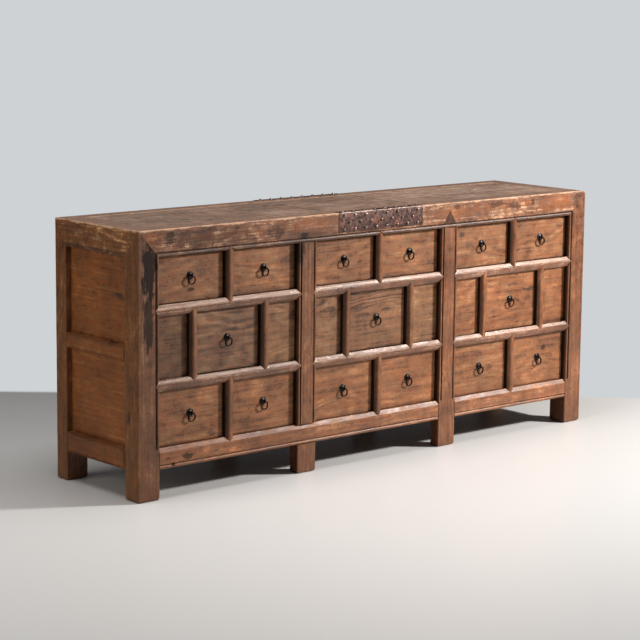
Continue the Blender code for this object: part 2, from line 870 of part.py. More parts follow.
def drawer(name, opening):
    """Drawer of one piece with its rose and eye; its origin is behind the eye."""
    row, x_low, x_high, z_low, z_high = opening
    x_from, x_to = x_low + drawer_clearance, x_high - drawer_clearance
    z_from, z_to = z_low + gap, z_high - drawer_top_clearance
    y_face = front + front_recess
    y_end = housing_back - drawer_back_space
    z_side = z_to - drawer_side_drop
    y_inner = y_face + drawer_front_thickness
    mesh = bmesh.new()
    add_bar(mesh, [(y_face, z_from), (y_face, z_to), (y_inner, z_to),
                   (y_inner, z_side), (y_end, z_side), (y_end, z_from)],
            "x", x_from, x_to)
    middle = ((x_low + x_high) / 2, y_face, (z_low + z_high) / 2 + rose_lift)
    body = finish(name, mesh, drawer_wood, origin=middle)
    cut(body, [([x_from + drawer_side_thickness, y_inner,
                 z_from + drawer_bottom_thickness],
                [x_to - drawer_side_thickness, y_end - drawer_side_thickness,
                 z_to + drawer_side_drop])])
    combine(body, rose_and_eye(*middle), "UNION")
    neck = bmesh.new()
    turn(neck, [(0, -rose_height - eye_wire), (neck_radius, -rose_height - eye_wire),
                (neck_radius, 0), (0, 0)], middle, neck_steps)
    combine(body, neck, "UNION")
    eye = bmesh.new()
    hoop(eye, (middle[0], y_face - ring_stand, middle[2]), "yz",
         eye_radius, eye_wire, eye_steps)
    combine(body, eye, "UNION")
    return body


def ring(name, holder):
    """Ring that hangs in the eye; its origin is on the axis it swings about."""
    axis = holder.location + Vector((0, -ring_stand, 0))
    mesh = bmesh.new()
    hoop(mesh, axis - Vector((0, 0, ring_radius)), "xz",
         ring_radius, ring_wire, ring_steps)
    made = finish(name, mesh, wrought_iron, origin=axis, smooth=True)
    made.parent = holder
    made.location = axis - holder.location
    return made


# Iron straps
def strap(name, side):
    """Iron strap bent over the front or the back edge of the top, with its studs."""
    face = side * back
    half = strap_length / 2
    ys = sorted((face + side * gap, face + side * (gap + strap_thickness)))
    mesh = bmesh.new()
    skin = strap_thickness + gap
    profile = [(face + side * gap, top - strap_drop), (face + side * gap, top + gap),
               (face - side * strap_reach, top + gap),
               (face - side * strap_reach, top + skin),
               (face + side * skin, top + skin), (face + side * skin, top - strap_drop)]
    add_bar(mesh, profile, "x", -half, half)
    body = finish(name, mesh, wrought_iron)
    pitch = strap_length / studs_in_long_row
    studs = bmesh.new()
    for row, share in enumerate(stud_rows_share):
        count = studs_in_long_row - row % 2
        for number in range(count):
            x = (number - (count - 1) / 2) * pitch
            dome(studs, (x, face + side * (gap + strap_thickness / 2),
                         top - strap_drop * share), (0, side, 0))
    for number in range(studs_in_long_row):
        x = (number - (studs_in_long_row - 1) / 2) * pitch
        dome(studs, (x, face - side * strap_reach / 2,
                     top + gap + strap_thickness / 2), (0, 0, 1))
    combine(body, studs, "UNION")
    return body


def dome(mesh, foot, way):
    """Low round stud head; way is the direction it rises in."""
    rise = Vector(way)
    first = Vector((1, 0, 0))
    second = rise.cross(first)
    total = stud_rise + strap_thickness / 2
    loops = []
    for radius_share, rise_share in stud_profile_shares:
        loops.append([mesh.verts.new(
            Vector(foot) + rise * total * rise_share
            + (first * cos(2 * pi * step / stud_steps)
               + second * sin(2 * pi * step / stud_steps)) * stud_radius * radius_share)
            for step in range(stud_steps)])
    tip = mesh.verts.new(Vector(foot) + rise * total)
    mesh.faces.new(loops[0])
    for first_loop, second_loop in zip(loops, loops[1:]):
        for step in range(stud_steps):
            following = (step + 1) % stud_steps
            mesh.faces.new((first_loop[step], first_loop[following],
                            second_loop[following], second_loop[step]))
    for step in range(stud_steps):
        mesh.faces.new((loops[-1][step], loops[-1][(step + 1) % stud_steps], tip))


# Assembly
corner_post("post_front_1", -1, front, front + front_post_depth, True)
front_middle_post("post_front_2", 0)
front_middle_post("post_front_3", 1)
corner_post("post_front_4", 1, front, front + front_post_depth, True)
corner_post("post_back_1", -1, back - back_post_depth, back, False)
back_middle_post("post_back_2", 0)
back_middle_post("post_back_3", 1)
corner_post("post_back_4", 1, back - back_post_depth, back, False)

top_front_rail()
top_back_rail()
top_end_rail("rail_top_left", -1)
top_end_rail("rail_top_right", 1)
seam = strap_length / 2 + seam_outside_strap
top_board("top_board_left", left, -seam - gap / 2)
top_board("top_board_middle", -seam + gap / 2, seam - gap / 2)
top_board("top_board_right", seam + gap / 2, right)

bottom_front_rail()
bottom_back_rail()
side_bottom_rail("rail_bottom_left", -1)
side_bottom_rail("rail_bottom_right", 1)
side_panel("side_panel_left", -1)
side_panel("side_panel_right", 1)
boarded_back()

lattice("lattice_left", bays[0])
lattice("lattice_middle", bays[1])
lattice("lattice_right", bays[2])
housing("housing_left", bays[0])
housing("housing_middle", bays[1])
housing("housing_right", bays[2])

made_in_row = {"top": 0, "middle": 0, "bottom": 0}
for bay in bays:
    for opening in opening_list(bay):
        row = opening[0]
        made_in_row[row] += 1
        box = drawer(f"drawer_{row}_{made_in_row[row]}", opening)
        ring(f"ring_{row}_{made_in_row[row]}", box)

strap("strap_front", -1)
strap("strap_back", 1)
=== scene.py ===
# %% [markdown]
# # An old sideboard with fifteen small drawers
# The real piece is a long, low cabinet of elm. Its frame makes three bays, each bay
# holds three rows of small drawers, and two iron straps hold the top down. The packed
# solid model gives every place and size. This lesson dresses it: each board, bead,
# nail and ring gets a shape of its own and a finish that shows its age.

import math
import random

import bmesh
import bpy
from mathutils import Matrix, Vector, noise


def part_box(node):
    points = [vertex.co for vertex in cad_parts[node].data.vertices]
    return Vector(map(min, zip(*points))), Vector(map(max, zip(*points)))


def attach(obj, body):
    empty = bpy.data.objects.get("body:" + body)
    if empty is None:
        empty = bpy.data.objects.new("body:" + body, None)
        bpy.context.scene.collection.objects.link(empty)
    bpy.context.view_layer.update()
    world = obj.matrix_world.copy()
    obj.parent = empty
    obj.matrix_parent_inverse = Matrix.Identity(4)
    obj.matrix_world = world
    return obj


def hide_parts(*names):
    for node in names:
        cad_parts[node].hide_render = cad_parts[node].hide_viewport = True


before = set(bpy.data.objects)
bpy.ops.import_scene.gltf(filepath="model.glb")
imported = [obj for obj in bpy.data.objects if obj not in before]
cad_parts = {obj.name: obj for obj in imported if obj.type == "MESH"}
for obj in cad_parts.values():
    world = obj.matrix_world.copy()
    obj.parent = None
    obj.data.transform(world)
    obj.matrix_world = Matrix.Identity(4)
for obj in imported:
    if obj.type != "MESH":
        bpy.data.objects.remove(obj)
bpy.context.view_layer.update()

# %% [markdown]
# ## Planes that everything hangs from
# A cabinet maker marks the posts and rails on one stick before cutting anything.
# Here the stick is read off the solid model: the faces of the posts give the bays,
# and the long rails give the height of the drawer rows. Reading them, instead of
# typing them again, keeps every new board on the plane of the solid it dresses.

# %% Read the marking stick
corner_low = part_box("post_front_1")[0]
rail_low, rail_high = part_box("rail_top_front")
sill_low, sill_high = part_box("rail_bottom_front")
left, front = corner_low.x, corner_low.y
right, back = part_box("post_front_4")[1].x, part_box("post_back_1")[1].y
leg_top, sill_top = sill_low.z, sill_high.z
underside, top = rail_low.z, rail_high.z
post_edges = [(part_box(f"post_front_{n}")[0].x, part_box(f"post_front_{n}")[1].x) for n in (1, 2, 3, 4)]
bays = [(post_edges[n][1], post_edges[n + 1][0]) for n in range(3)]

play = 0.0003
cross_rail = 0.036
divider = 0.032
middle_opening = 0.265
row_heights = (0.185, 0.207)
bottom_row = (sill_top, sill_top + row_heights[0])
middle_row = (bottom_row[1] + cross_rail, bottom_row[1] + cross_rail + row_heights[1])
top_row = (middle_row[1] + cross_rail, underside)
print("bays", bays, "rows", bottom_row, middle_row, top_row)

# %% [markdown]
# ## How a moulded bar is made
# A rail is planed to one cross-section along its whole length. The same is done here:
# draw the cross-section as a face, ease its corners, and extrude it from station to
# station. The stations leave a ring of points every few centimetres, so that wear can
# bend the edges later. At an end the last rings can shrink, which rounds the end off.

# %% Stations along a bar
def run(start, end, step=0.03, soft_start=0.0, soft_end=0.0):
    """Stations from start to end: (place, how far the outline shrinks there)."""
    count = max(1, round((end - start) / step))
    stops = [(start + (end - start) * n / count, 0.0) for n in range(count + 1)]
    for soft, at_start in ((soft_start, True), (soft_end, False)):
        if soft:
            towards = 1 if at_start else -1
            edge = start if at_start else end
            curve = [(edge + towards * soft * (1 - math.cos(a)), soft * (1 - math.sin(a)))
                     for a in (0, math.pi / 6, math.pi / 3)] + [(edge + towards * soft, 0.0)]
            stops = curve + [s for s in stops if abs(s[0] - edge) > soft * 1.2] if at_start else \
                [s for s in stops if abs(s[0] - edge) > soft * 1.2] + curve[::-1]
    return stops


# %% Extrude an outline along the stations
support = 3       # extra points lie this many eases in from an edge, and keep the flats flat
long_side = 10    # a side shorter than this many eases needs none


def bar(outline, axis, stops, ease=0.0, ease_segments=2):
    """A closed bar: the outline lies across the axis, its corners eased a little."""
    mesh = bmesh.new()
    along = "xyz".index(axis)
    over = [n for n in range(3) if n != along]

    def spot(point, place):
        made = Vector((0, 0, 0))
        made[along], made[over[0]], made[over[1]] = place, point[0], point[1]
        return made

    cap = mesh.faces.new([mesh.verts.new(spot(p, stops[0][0])) for p in outline])
    if ease:
        corners = [v for v in cap.verts if edge_turn(v) > math.radians(50)]
        bmesh.ops.bevel(mesh, geom=corners, affect="VERTICES", offset=ease,
                        segments=ease_segments, profile=0.5, material=-1, clamp_overlap=True)
        mesh.faces.ensure_lookup_table()
        cap = mesh.faces[0]
        inset = support * ease
        for edge in [e for e in cap.edges if e.calc_length() > long_side * ease]:
            length, (one, two) = edge.calc_length(), edge.verts
            near = bmesh.utils.edge_split(edge, one, inset / length)[1]
            rest = next(e for e in near.link_edges if e.other_vert(near) is two)
            bmesh.utils.edge_split(rest, two, inset / (length - inset))
    base = [v.co.copy() for v in cap.verts]
    middle = [(min(c[o] for c in base) + max(c[o] for c in base)) / 2 for o in over]
    reach = [(max(c[o] for c in base) - min(c[o] for c in base)) / 2 for o in over]

    def settle(verts, place, shrink):
        for vert, start in zip(verts, base):
            vert.co[along] = place
            for o, m, r in zip(over, middle, reach):
                vert.co[o] = m + (start[o] - m) * (1 - shrink / r)

    settle(cap.verts, *stops[0])
    order, first = list(cap.verts), cap
    # Extruding leaves the old end behind, so every end but the first one is deleted.
    for place, shrink in stops[1:]:
        grown = bmesh.ops.extrude_face_region(mesh, geom=[cap])["geom"]
        if cap is not first:
            bmesh.ops.delete(mesh, geom=[cap], context="FACES_ONLY")
        cap = next(item for item in grown if isinstance(item, bmesh.types.BMFace))
        pairs = {}
        for vert in cap.verts:
            old = next(e.other_vert(vert) for e in vert.link_edges
                       if e.other_vert(vert) in order)
            pairs[old] = vert
        order = [pairs[v] for v in order]
        settle(order, place, shrink)
    bmesh.ops.recalc_face_normals(mesh, faces=mesh.faces[:])
    return mesh


def edge_turn(vert):
    """How sharply the outline turns at one of its points."""
    one, two = [(e.other_vert(vert).co - vert.co) for e in vert.link_edges]
    return math.pi - one.angle(two)


# %% Saw a bar off at a plane, and put bars together
def saw(mesh, point, outwards):
    """Take away what lies beyond a plane and close the cut."""
    outwards = Vector(outwards).normalized()
    found = bmesh.ops.bisect_plane(
        mesh, geom=mesh.verts[:] + mesh.edges[:] + mesh.faces[:], dist=1e-7,
        plane_co=Vector(point), plane_no=outwards, clear_outer=True)["geom_cut"]
    edges = [item for item in found if isinstance(item, bmesh.types.BMEdge)]
    if edges:
        bmesh.ops.contextual_create(mesh, geom=edges)
    return mesh


def glue(target, *parts):
    """Move the parts' faces into the target mesh."""
    for part in parts:
        data = bpy.data.meshes.new("part")
        part.to_mesh(data)
        part.free()
        target.from_mesh(data)
        bpy.data.meshes.remove(data)
    return target


# %% A plain board with eased edges
def board(low, high, ease=0.0012, step=0.03):
    """A cube drawn to size, its edges eased, with rings of points for the wear."""
    mesh = bmesh.new()
    bmesh.ops.create_cube(mesh, size=1)
    size, centre = Vector(high) - Vector(low), (Vector(high) + Vector(low)) / 2
    bmesh.ops.scale(mesh, vec=size, verts=mesh.verts)
    bmesh.ops.translate(mesh, vec=centre, verts=mesh.verts)
    if ease:
        bmesh.ops.bevel(mesh, geom=mesh.edges[:], affect="EDGES", offset=ease, segments=2,
                        profile=0.5, material=-1)
    for axis in range(3):
        count = int(size[axis] / step)
        cuts = [size[axis] * n / count for n in range(1, count)]
        if ease and size[axis] > long_side * ease:
            cuts += [support * ease, size[axis] - support * ease]
        for cut in cuts:
            point, normal = centre.copy(), Vector((0, 0, 0))
            point[axis], normal[axis] = low[axis] + cut, 1
            bmesh.ops.bisect_plane(mesh, geom=mesh.verts[:] + mesh.edges[:] + mesh.faces[:],
                                   plane_co=point, plane_no=normal)
    return mesh


# %% [markdown]
# ## Wear
# Two centuries of hands and brooms take wood off the edges and leave the flats
# alone. A point on an edge has a slanting normal, and a point on a flat has a normal
# along one axis. So the slant says how exposed a point is, and smooth noise says how
# unlucky it was. Points only ever move inwards, so the piece never outgrows its solid.

# %% Wear the edges
def wear(mesh, amount, grain=45.0, seed=0.0):
    """Push slanting points in by an uneven amount; the sawn ends of a bar stay as they are."""
    mesh.normal_update()
    sawn = {vert for face in mesh.faces if len(face.verts) > 6 for vert in face.verts}
    moves = []
    for vert in mesh.verts:
        if vert in sawn:
            continue
        slant = (1 - max(abs(n) for n in vert.normal)) / 0.3
        if slant > 0:
            luck = noise.noise(vert.co * grain + Vector((seed, -seed, seed)))
            moves.append((vert, vert.normal * amount * min(1, slant) * max(0, luck * 0.7 + 0.4)))
    for vert, move in moves:
        vert.co -= move
    return mesh


# %% [markdown]
# ## Making a piece
# Every finished mesh becomes a named object that rides a body of the model. It also
# carries four small records that its finish reads: `place` says where a point lies
# along, across and through the board, `half` says how far the board reaches, `lot`
# says which plank it was cut from, and `lean` says which way the surface leans. With
# these a board's grain follows the board, and shade, sheen and highlights can be
# painted by the way a surface leans.

# %% Turn a mesh into a named piece
made_pieces = []


def new_object(name, data):
    made = bpy.data.objects.new(name, data)
    bpy.context.collection.objects.link(made)
    return made


def piece(name, mesh, material, body, nodes, grain="x", face="y", tone=1.0, warmth=0.5,
          sharp=25):
    """Finish a mesh as an object, with the records that its material reads."""
    data = bpy.data.meshes.new(name)
    bmesh.ops.recalc_face_normals(mesh, faces=mesh.faces[:])
    mesh.to_mesh(data)
    mesh.free()
    data.shade_smooth()
    data.set_sharp_from_angle(angle=math.radians(sharp))
    axes = ["xyz".index(grain), "xyz".index("xyz".replace(grain, "").replace(face, "")),
            "xyz".index(face)]
    spots = [v.co for v in data.vertices]
    low = [min(s[a] for s in spots) for a in axes]
    high = [max(s[a] for s in spots) for a in axes]
    chance = random.Random(name)
    lot = (chance.random(), tone, warmth)
    values = {"place": [], "half": [], "lot": []}
    for spot in spots:
        values["place"] += [spot[a] - (l + h) / 2 for a, l, h in zip(axes, low, high)]
        values["half"] += [(h - l) / 2 for l, h in zip(low, high)]
        values["lot"] += lot
    for key, numbers in values.items():
        data.attributes.new(key, "FLOAT_VECTOR", "POINT").data.foreach_set("vector", numbers)
    lean = [n for normal in data.corner_normals for n in normal.vector]
    data.attributes.new("lean", "FLOAT_VECTOR", "CORNER").data.foreach_set("vector", lean)
    data.materials.append(material)
    made = new_object(name, data)
    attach(made, body)
    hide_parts(*nodes)
    made_pieces.append(made)
    return made


# %% [markdown]
# ## Finishes: a short way to write nodes
# A wood finish needs some thirty nodes, and thirty nodes wired by hand hide the idea.
# This helper adds one node, sets or links its inputs in order, and hands back the
# output, so that a finish reads from top to bottom like a recipe.

# %% One node per line
def start_material(name, colour):
    """A material with nodes; the colour is what a plain view shows."""
    made = bpy.data.materials.new(name)
    made.use_nodes = True
    made.diffuse_color = (*colour, 1)
    tree = made.node_tree
    return made, tree, tree.nodes["Principled BSDF"]


def add(tree, kind, *inputs, out=0, **settings):
    """Add a node, fill its inputs in order (None leaves one alone), return an output."""
    made = tree.nodes.new("ShaderNode" + kind)
    for key, value in settings.items():
        setattr(made, key, value)
    for socket, value in zip(made.inputs, inputs):
        if isinstance(value, bpy.types.NodeSocket):
            tree.links.new(value, socket)
        elif value is not None:
            socket.default_value = value
    return made.outputs[out]


def maths(tree, operation, *inputs):
    return add(tree, "Math", *inputs, operation=operation)


def times(tree, first, *others):
    for other in others:
        first = maths(tree, "MULTIPLY", first, other)
    return first


def plus(tree, first, *others):
    for other in others:
        first = maths(tree, "ADD", first, other)
    return first


def vector_maths(tree, operation, *inputs, out=0):
    return add(tree, "VectorMath", *inputs, operation=operation, out=out)


def blend(tree, share, first, second, way="MIX"):
    """Mix two colours."""
    return add(tree, "Mix", share, None, None, None, None, None, first, second,
               out=2, data_type="RGBA", blend_type=way)


def soft_step(tree, value, low, high, to_low=0.0, to_high=1.0):
    return add(tree, "MapRange", value, low, high, to_low, to_high,
               interpolation_type="SMOOTHSTEP")


def cloud(tree, spot, scale=1.0, detail=3.0, roughness=0.5, distortion=0.0):
    """Noise from nought to one."""
    made = tree.nodes.new("ShaderNodeTexNoise")
    tree.links.new(spot, made.inputs["Vector"])
    for key, value in (("Scale", scale), ("Detail", detail), ("Roughness", roughness),
                       ("Distortion", distortion)):
        made.inputs[key].default_value = value
    return made.outputs[0]


def emboss(tree, shader, height, strength, distance):
    """Let a height lean the light, without moving the surface."""
    bump = tree.nodes.new("ShaderNodeBump")
    bump.inputs["Strength"].default_value = strength
    bump.inputs["Distance"].default_value = distance
    tree.links.new(height, bump.inputs["Height"])
    tree.links.new(bump.outputs[0], shader.inputs["Normal"])


def stretch(tree, spot, along, across, through):
    return vector_maths(tree, "MULTIPLY", spot, (along, across, through))


def rgb(red, green, blue):
    """A colour as a painter names it, from 0 to 255, turned into light."""
    return tuple((c / 255 / 12.92) if c / 255 <= 0.04045 else ((c / 255 + 0.055) / 1.055) ** 2.4
                 for c in (red, green, blue))


# %% [markdown]
# ## The wood
# Old elm shows three things at once: broad streaks where the year's growth was fast,
# an arched figure where the saw crossed the rings, and short dark pores. All three
# are noise stretched along the board. On top lie the marks of use: pale edges, dark
# dirt in the corners that no cloth reaches, and remains of black lacquer. Light is
# painted in as well: shade in the openings, on faces that lean left and on the tops
# of the drawer fronts, a pale highlight on the cross rails and the top's front edge,
# a grey sheen on the top frame, and light on the left end.

# %% Records of a board, as nodes
def board_records(tree):
    """Where on its board a point is, which plank it is from, how near an edge it lies."""
    place = add(tree, "Attribute", out=1, attribute_name="place")
    half = add(tree, "Attribute", out=1, attribute_name="half")
    lot = add(tree, "SeparateXYZ", add(tree, "Attribute", out=1, attribute_name="lot")).node
    seed, tone, warmth = lot.outputs[0], lot.outputs[1], lot.outputs[2]
    shift = add(tree, "CombineXYZ", times(tree, seed, 9.0),
                times(tree, seed, 5.0), times(tree, seed, 7.0))
    spot = vector_maths(tree, "ADD", place, shift)
    left_over = add(tree, "SeparateXYZ", vector_maths(
        tree, "SUBTRACT", half, vector_maths(tree, "ABSOLUTE", place))).node.outputs
    small = maths(tree, "MINIMUM", left_over[0], left_over[1])
    large = maths(tree, "MAXIMUM", left_over[0], left_over[1])
    to_edge = maths(tree, "MAXIMUM", small, maths(tree, "MINIMUM", large, left_over[2]))
    across = add(tree, "SeparateXYZ", place, out=1)
    lean = add(tree, "SeparateXYZ", add(tree, "Attribute", out=1, attribute_name="lean")).node
    return spot, tone, warmth, to_edge, across, lean.outputs


# %% Remains of black lacquer
def lacquer(tree, world, patches, rough):
    """Ragged dark patches at given places: centre, reach on each axis, strength."""
    total = None
    for centre, reach, strength in patches:
        away = vector_maths(tree, "SUBTRACT", world, centre)
        away = vector_maths(tree, "DIVIDE", away, reach)
        away = vector_maths(tree, "LENGTH", away, out=1)
        ragged = plus(tree, away, rough)
        mask = soft_step(tree, ragged, 0.75, 1.25, strength, 0.0)
        total = mask if total is None else maths(tree, "MAXIMUM", total, mask)
    return total


# %% Painted shade on the walls of the openings
def opening_shade_mask(tree, world):
    """One on the walls of the openings, where shade is painted into the colour."""
    x, y, z = add(tree, "SeparateXYZ", world).node.outputs
    return times(tree,
                 soft_step(tree, y, front + 0.0060, front + 0.0100),
                 soft_step(tree, y, front + 0.080, front + 0.090, 1.0, 0.0),
                 soft_step(tree, x, left + 0.02, left + 0.03),
                 soft_step(tree, x, right - 0.03, right - 0.02, 1.0, 0.0),
                 soft_step(tree, z, sill_top - 0.001, sill_top + 0.001),
                 soft_step(tree, z, underside + 0.002, underside + 0.005, 1.0, 0.0))


# %% The wood recipe
def wood(name, deep, body, pale, dirt_and_shade, roughness=0.45, edge_wear=0.6, edge_dirt=0.5,
         dirt_reach=0.02, patches=(), figure=0.2, curl=0.0, opening_shade=0.0, upper=0.0, away=0.0,
         top_dirt=0.0, mottling=0.75, sheen=0.5, bare_reach=0.003, chips=0.006, stains=(),
         bead_darkening=0.0, painted_end_light=0.0, grey_and_sheen=0.0, relief=0.0012, glint=(1, 1, 1, 1)):
    made, tree, shader = start_material(name, body)
    spot, tone, warmth, to_edge, across, lean = board_records(tree)
    world = add(tree, "TexCoord", out=3)
    at_x, _, at_z = add(tree, "SeparateXYZ", world).node.outputs

    def around_middle(value, strength):
        return times(tree, maths(tree, "SUBTRACT", value, 0.5), strength)

    streaks = cloud(tree, stretch(tree, spot, 1.6, 120, 120), 1, 4, 0.65, 0.2)
    fibres = cloud(tree, stretch(tree, spot, 9, 400, 400), 1, 3, 0.6)
    warp = cloud(tree, stretch(tree, spot, 2.6, 8, 8), 1, 2, 0.5)
    rings = vector_maths(tree, "ADD", stretch(tree, spot, 0.9, 12, 12), vector_maths(
        tree, "MULTIPLY", add(tree, "CombineXYZ", 0.0, warp, warp), (0.0, 3.0, 3.0)))
    far = vector_maths(tree, "LENGTH", rings, out=1)
    arches = soft_step(tree, maths(tree, "SINE", times(tree, far, 13.0)), -1.0, 1.0)
    broad = cloud(tree, world, 6, 2, 0.5)
    mottle = cloud(tree, world, 34, 4, 0.62)
    fine = cloud(tree, world, 150, 3, 0.65)

    share = 0.5
    for part, strength in ((streaks, 0.95), (fibres, 0.75), (broad, 0.6), (mottle, mottling),
                           (fine, 0.6), (arches, figure)):
        share = plus(tree, share, around_middle(part, strength))
    if curl:
        waves = vector_maths(tree, "ADD", stretch(tree, spot, 3, 30, 30), vector_maths(
            tree, "MULTIPLY", add(tree, "CombineXYZ", warp, warp, warp), (0.0, 9.0, 9.0)))
        bands = maths(tree, "SINE", times(tree, add(tree, "SeparateXYZ", waves, out=1), 7.0))
        where = soft_step(tree, across, -0.01, 0.05)
        curls = times(tree, soft_step(tree, bands, 0.1, 0.9), where, curl)
        share = maths(tree, "SUBTRACT", share, curls)
    colour = blend(tree, soft_step(tree, share, 0.05, 0.5), (*deep, 1), (*body, 1))
    colour = blend(tree, soft_step(tree, share, 0.5, 0.98), colour, (*pale, 1))
    knots = cloud(tree, stretch(tree, spot, 9, 22, 22), 1, 2, 0.45)
    colour = blend(tree, soft_step(tree, knots, 0.69, 0.78, 0.0, 0.75), colour, (*dirt_and_shade, 1))
    flecks = cloud(tree, stretch(tree, spot, 45, 150, 150), 1, 2, 0.5)
    colour = blend(tree, soft_step(tree, flecks, 0.63, 0.72, 0.0, 0.6), colour, (*deep, 1), "MULTIPLY")

    tint = cloud(tree, stretch(tree, spot, 16, 55, 55), 1, 4, 0.7)
    hue = plus(tree, warmth, around_middle(tint, 2.4))
    warm = blend(tree, hue, (0.84, 1.01, 1.12, 1), (1.17, 0.98, 0.82, 1))
    colour = blend(tree, 1.0, colour, warm, "MULTIPLY")
    level = times(tree, tone, soft_step(tree, broad, 0.25, 0.75, 0.88, 1.12))
    colour = blend(tree, 1.0, colour, add(tree, "CombineXYZ", level, level, level), "MULTIPLY")

    # Painted light: faces at the very left end are made lighter and warmer.
    if painted_end_light:
        lit_end_face = times(tree, soft_step(tree, at_x, left + 0.004, left + 0.008, 1.0, 0.0), painted_end_light)
        colour = blend(tree, lit_end_face, colour, (1.22, 1.20, 0.84, 1), "MULTIPLY")

    # Faces that lean upwards are painted paler and greyer, partly as weathering and partly as a painted
    # sheen.
    if grey_and_sheen:
        upwards = soft_step(tree, lean[2], 0.75, 0.95, 0.0, grey_and_sheen)
        colour = blend(tree, upwards, colour, rgb(148, 124, 110) + (1,))

    rim = plus(tree, to_edge, around_middle(mottle, dirt_reach * 1.4))
    grime_and_shade = soft_step(tree, rim, 0.0, dirt_reach, edge_dirt, 0.0)
    grime_and_shade = times(tree, grime_and_shade, soft_step(tree, fine, 0.3, 0.6, 0.6, 1.0))
    # Painted shade: faces that lean to the left, away from the key window, are darkened by the strength
    # `away`.
    if away:
        shade_side = soft_step(tree, times(tree, lean[0], -1.0), 0.12, 0.5, 0.0, away)
        inboard = soft_step(tree, at_x, left + 0.02, left + 0.03)
        grime_and_shade = maths(tree, "MAXIMUM", grime_and_shade, times(tree, shade_side, inboard))
    # Painted shade on faces that lean upwards, such as the top faces of the drawer fronts under the rails.
    if top_dirt:
        grime_and_shade = maths(tree, "MAXIMUM", grime_and_shade, soft_step(tree, lean[2], 0.80, 0.97, 0.0, top_dirt))
    # Dirt near the edges and the painted shade of left- and upward-leaning faces darken the colour here.
    colour = blend(tree, grime_and_shade, colour, (*dirt_and_shade, 1))
    bare = soft_step(tree, plus(tree, to_edge, around_middle(mottle, chips)),
                     0.0004, bare_reach, edge_wear, 0.0)
    # The bead along the lower edge of the top rail is painted darker, and no pale wear is drawn near it.
    if bead_darkening:
        bare = times(tree, bare, soft_step(tree, at_z, underside + 0.03, underside + 0.06))
        low = soft_step(tree, at_z, underside + 0.0125, underside + 0.0145, 1.0, 0.0)
        low = times(tree, low, soft_step(tree, mottle, 0.3, 0.6, bead_darkening, bead_darkening * 0.7))
        colour = blend(tree, low, colour, (*dirt_and_shade, 1))
    # Painted highlight: with `upper` the upper slope of a board, here the cross rails, is painted pale in
    # streaks where the key window is mirrored.
    if upper:
        rubbed = times(tree, soft_step(tree, across, 0.0005, 0.0015),
                       soft_step(tree, streaks, 0.40, 0.60, 0.0, upper))
        bare = maths(tree, "MAXIMUM", bare, rubbed)
    colour = blend(tree, bare, colour, (*pale, 1))
    if stains:
        rough = plus(tree, around_middle(mottle, 3.4), around_middle(streaks, 2.4))
        amber = lacquer(tree, world, stains, rough)
        colour = blend(tree, amber, colour, rgb(172, 98, 46) + (1,))
    if patches:
        flaked = cloud(tree, stretch(tree, spot, 22, 110, 110), 1, 4, 0.65)
        rough = plus(tree, around_middle(mottle, 1.4), around_middle(flaked, 2.6))
        residue = lacquer(tree, world, patches, rough)
        colour = blend(tree, residue, colour, (*dirt_and_shade, 1))
        grime_and_shade = maths(tree, "MAXIMUM", grime_and_shade, residue)
    # Painted shade: the walls of the openings are darkened towards the dark colour.
    if opening_shade:
        inside = times(tree, opening_shade_mask(tree, world), opening_shade)
        colour = blend(tree, inside, colour, (*dirt_and_shade, 1))

    tree.links.new(colour, shader.inputs["Base Color"])
    shader.inputs["Specular Tint"].default_value = glint
    gloss = plus(tree, soft_step(tree, mottle, 0.25, 0.75, roughness - 0.1, roughness + 0.12),
                  times(tree, grime_and_shade, 0.2))
    tree.links.new(gloss, shader.inputs["Roughness"])
    dull = maths(tree, "MAXIMUM", grime_and_shade, inside) if opening_shade else grime_and_shade
    tree.links.new(maths(tree, "SUBTRACT", sheen, times(tree, dull, sheen * 0.7)),
                   shader.inputs["Specular IOR Level"])
    height = plus(tree, times(tree, streaks, 0.6), times(tree, fibres, 0.4), times(tree, fine, 0.8))
    emboss(tree, shader, height, 0.4, relief)
    return made


# %% Where black lacquer is left on the frame, and where it wore to amber
post_patches = [
    ((-0.988, front, 0.748), (0.026, 0.03, 0.100), 0.95),
    ((-0.989, front, 0.590), (0.018, 0.03, 0.100), 0.80),
    ((-0.362, front, 0.765), (0.016, 0.03, 0.050), 0.75),
    ((-0.832, front, 0.131), (0.018, 0.03, 0.014), 0.70),
    ((-0.891, front, 0.112), (0.007, 0.03, 0.006), 0.90)]
top_patches = [
    ((-0.780, front, 0.838), (0.170, 0.03, 0.026), 0.50),
    ((-0.905, front, 0.845), (0.024, 0.03, 0.020), 0.70),
    ((-0.733, front, 0.860), (0.022, 0.03, 0.010), 0.50),
    ((-0.640, front, 0.815), (0.060, 0.03, 0.010), 0.45),
    ((-0.464, front, 0.832), (0.034, 0.03, 0.022), 0.60),
    ((-0.345, front, 0.812), (0.012, 0.02, 0.010), 0.80),
    ((0.365, front, 0.858), (0.012, 0.02, 0.008), 0.60),
    ((0.429, front, 0.812), (0.012, 0.02, 0.008), 0.50),
    ((0.560, front, 0.856), (0.040, 0.02, 0.012), 0.60),
    ((0.650, front, 0.846), (0.034, 0.02, 0.013), 0.60),
    ((0.995, front, 0.850), (0.034, 0.05, 0.026), 0.40),
    ((0.747, front, 0.852), (0.010, 0.02, 0.008), 0.70)]
amber_patches = [
    ((-0.955, front, 0.845), (0.040, 0.03, 0.018), 0.40),
    ((-0.700, front, 0.840), (0.120, 0.03, 0.012), 0.20),
    ((-0.300, front, 0.845), (0.110, 0.03, 0.018), 0.30),
    ((0.350, front, 0.840), (0.070, 0.03, 0.020), 0.40),
    ((0.600, front, 0.850), (0.160, 0.03, 0.014), 0.30),
    ((0.880, front, 0.840), (0.080, 0.03, 0.024), 0.35)]
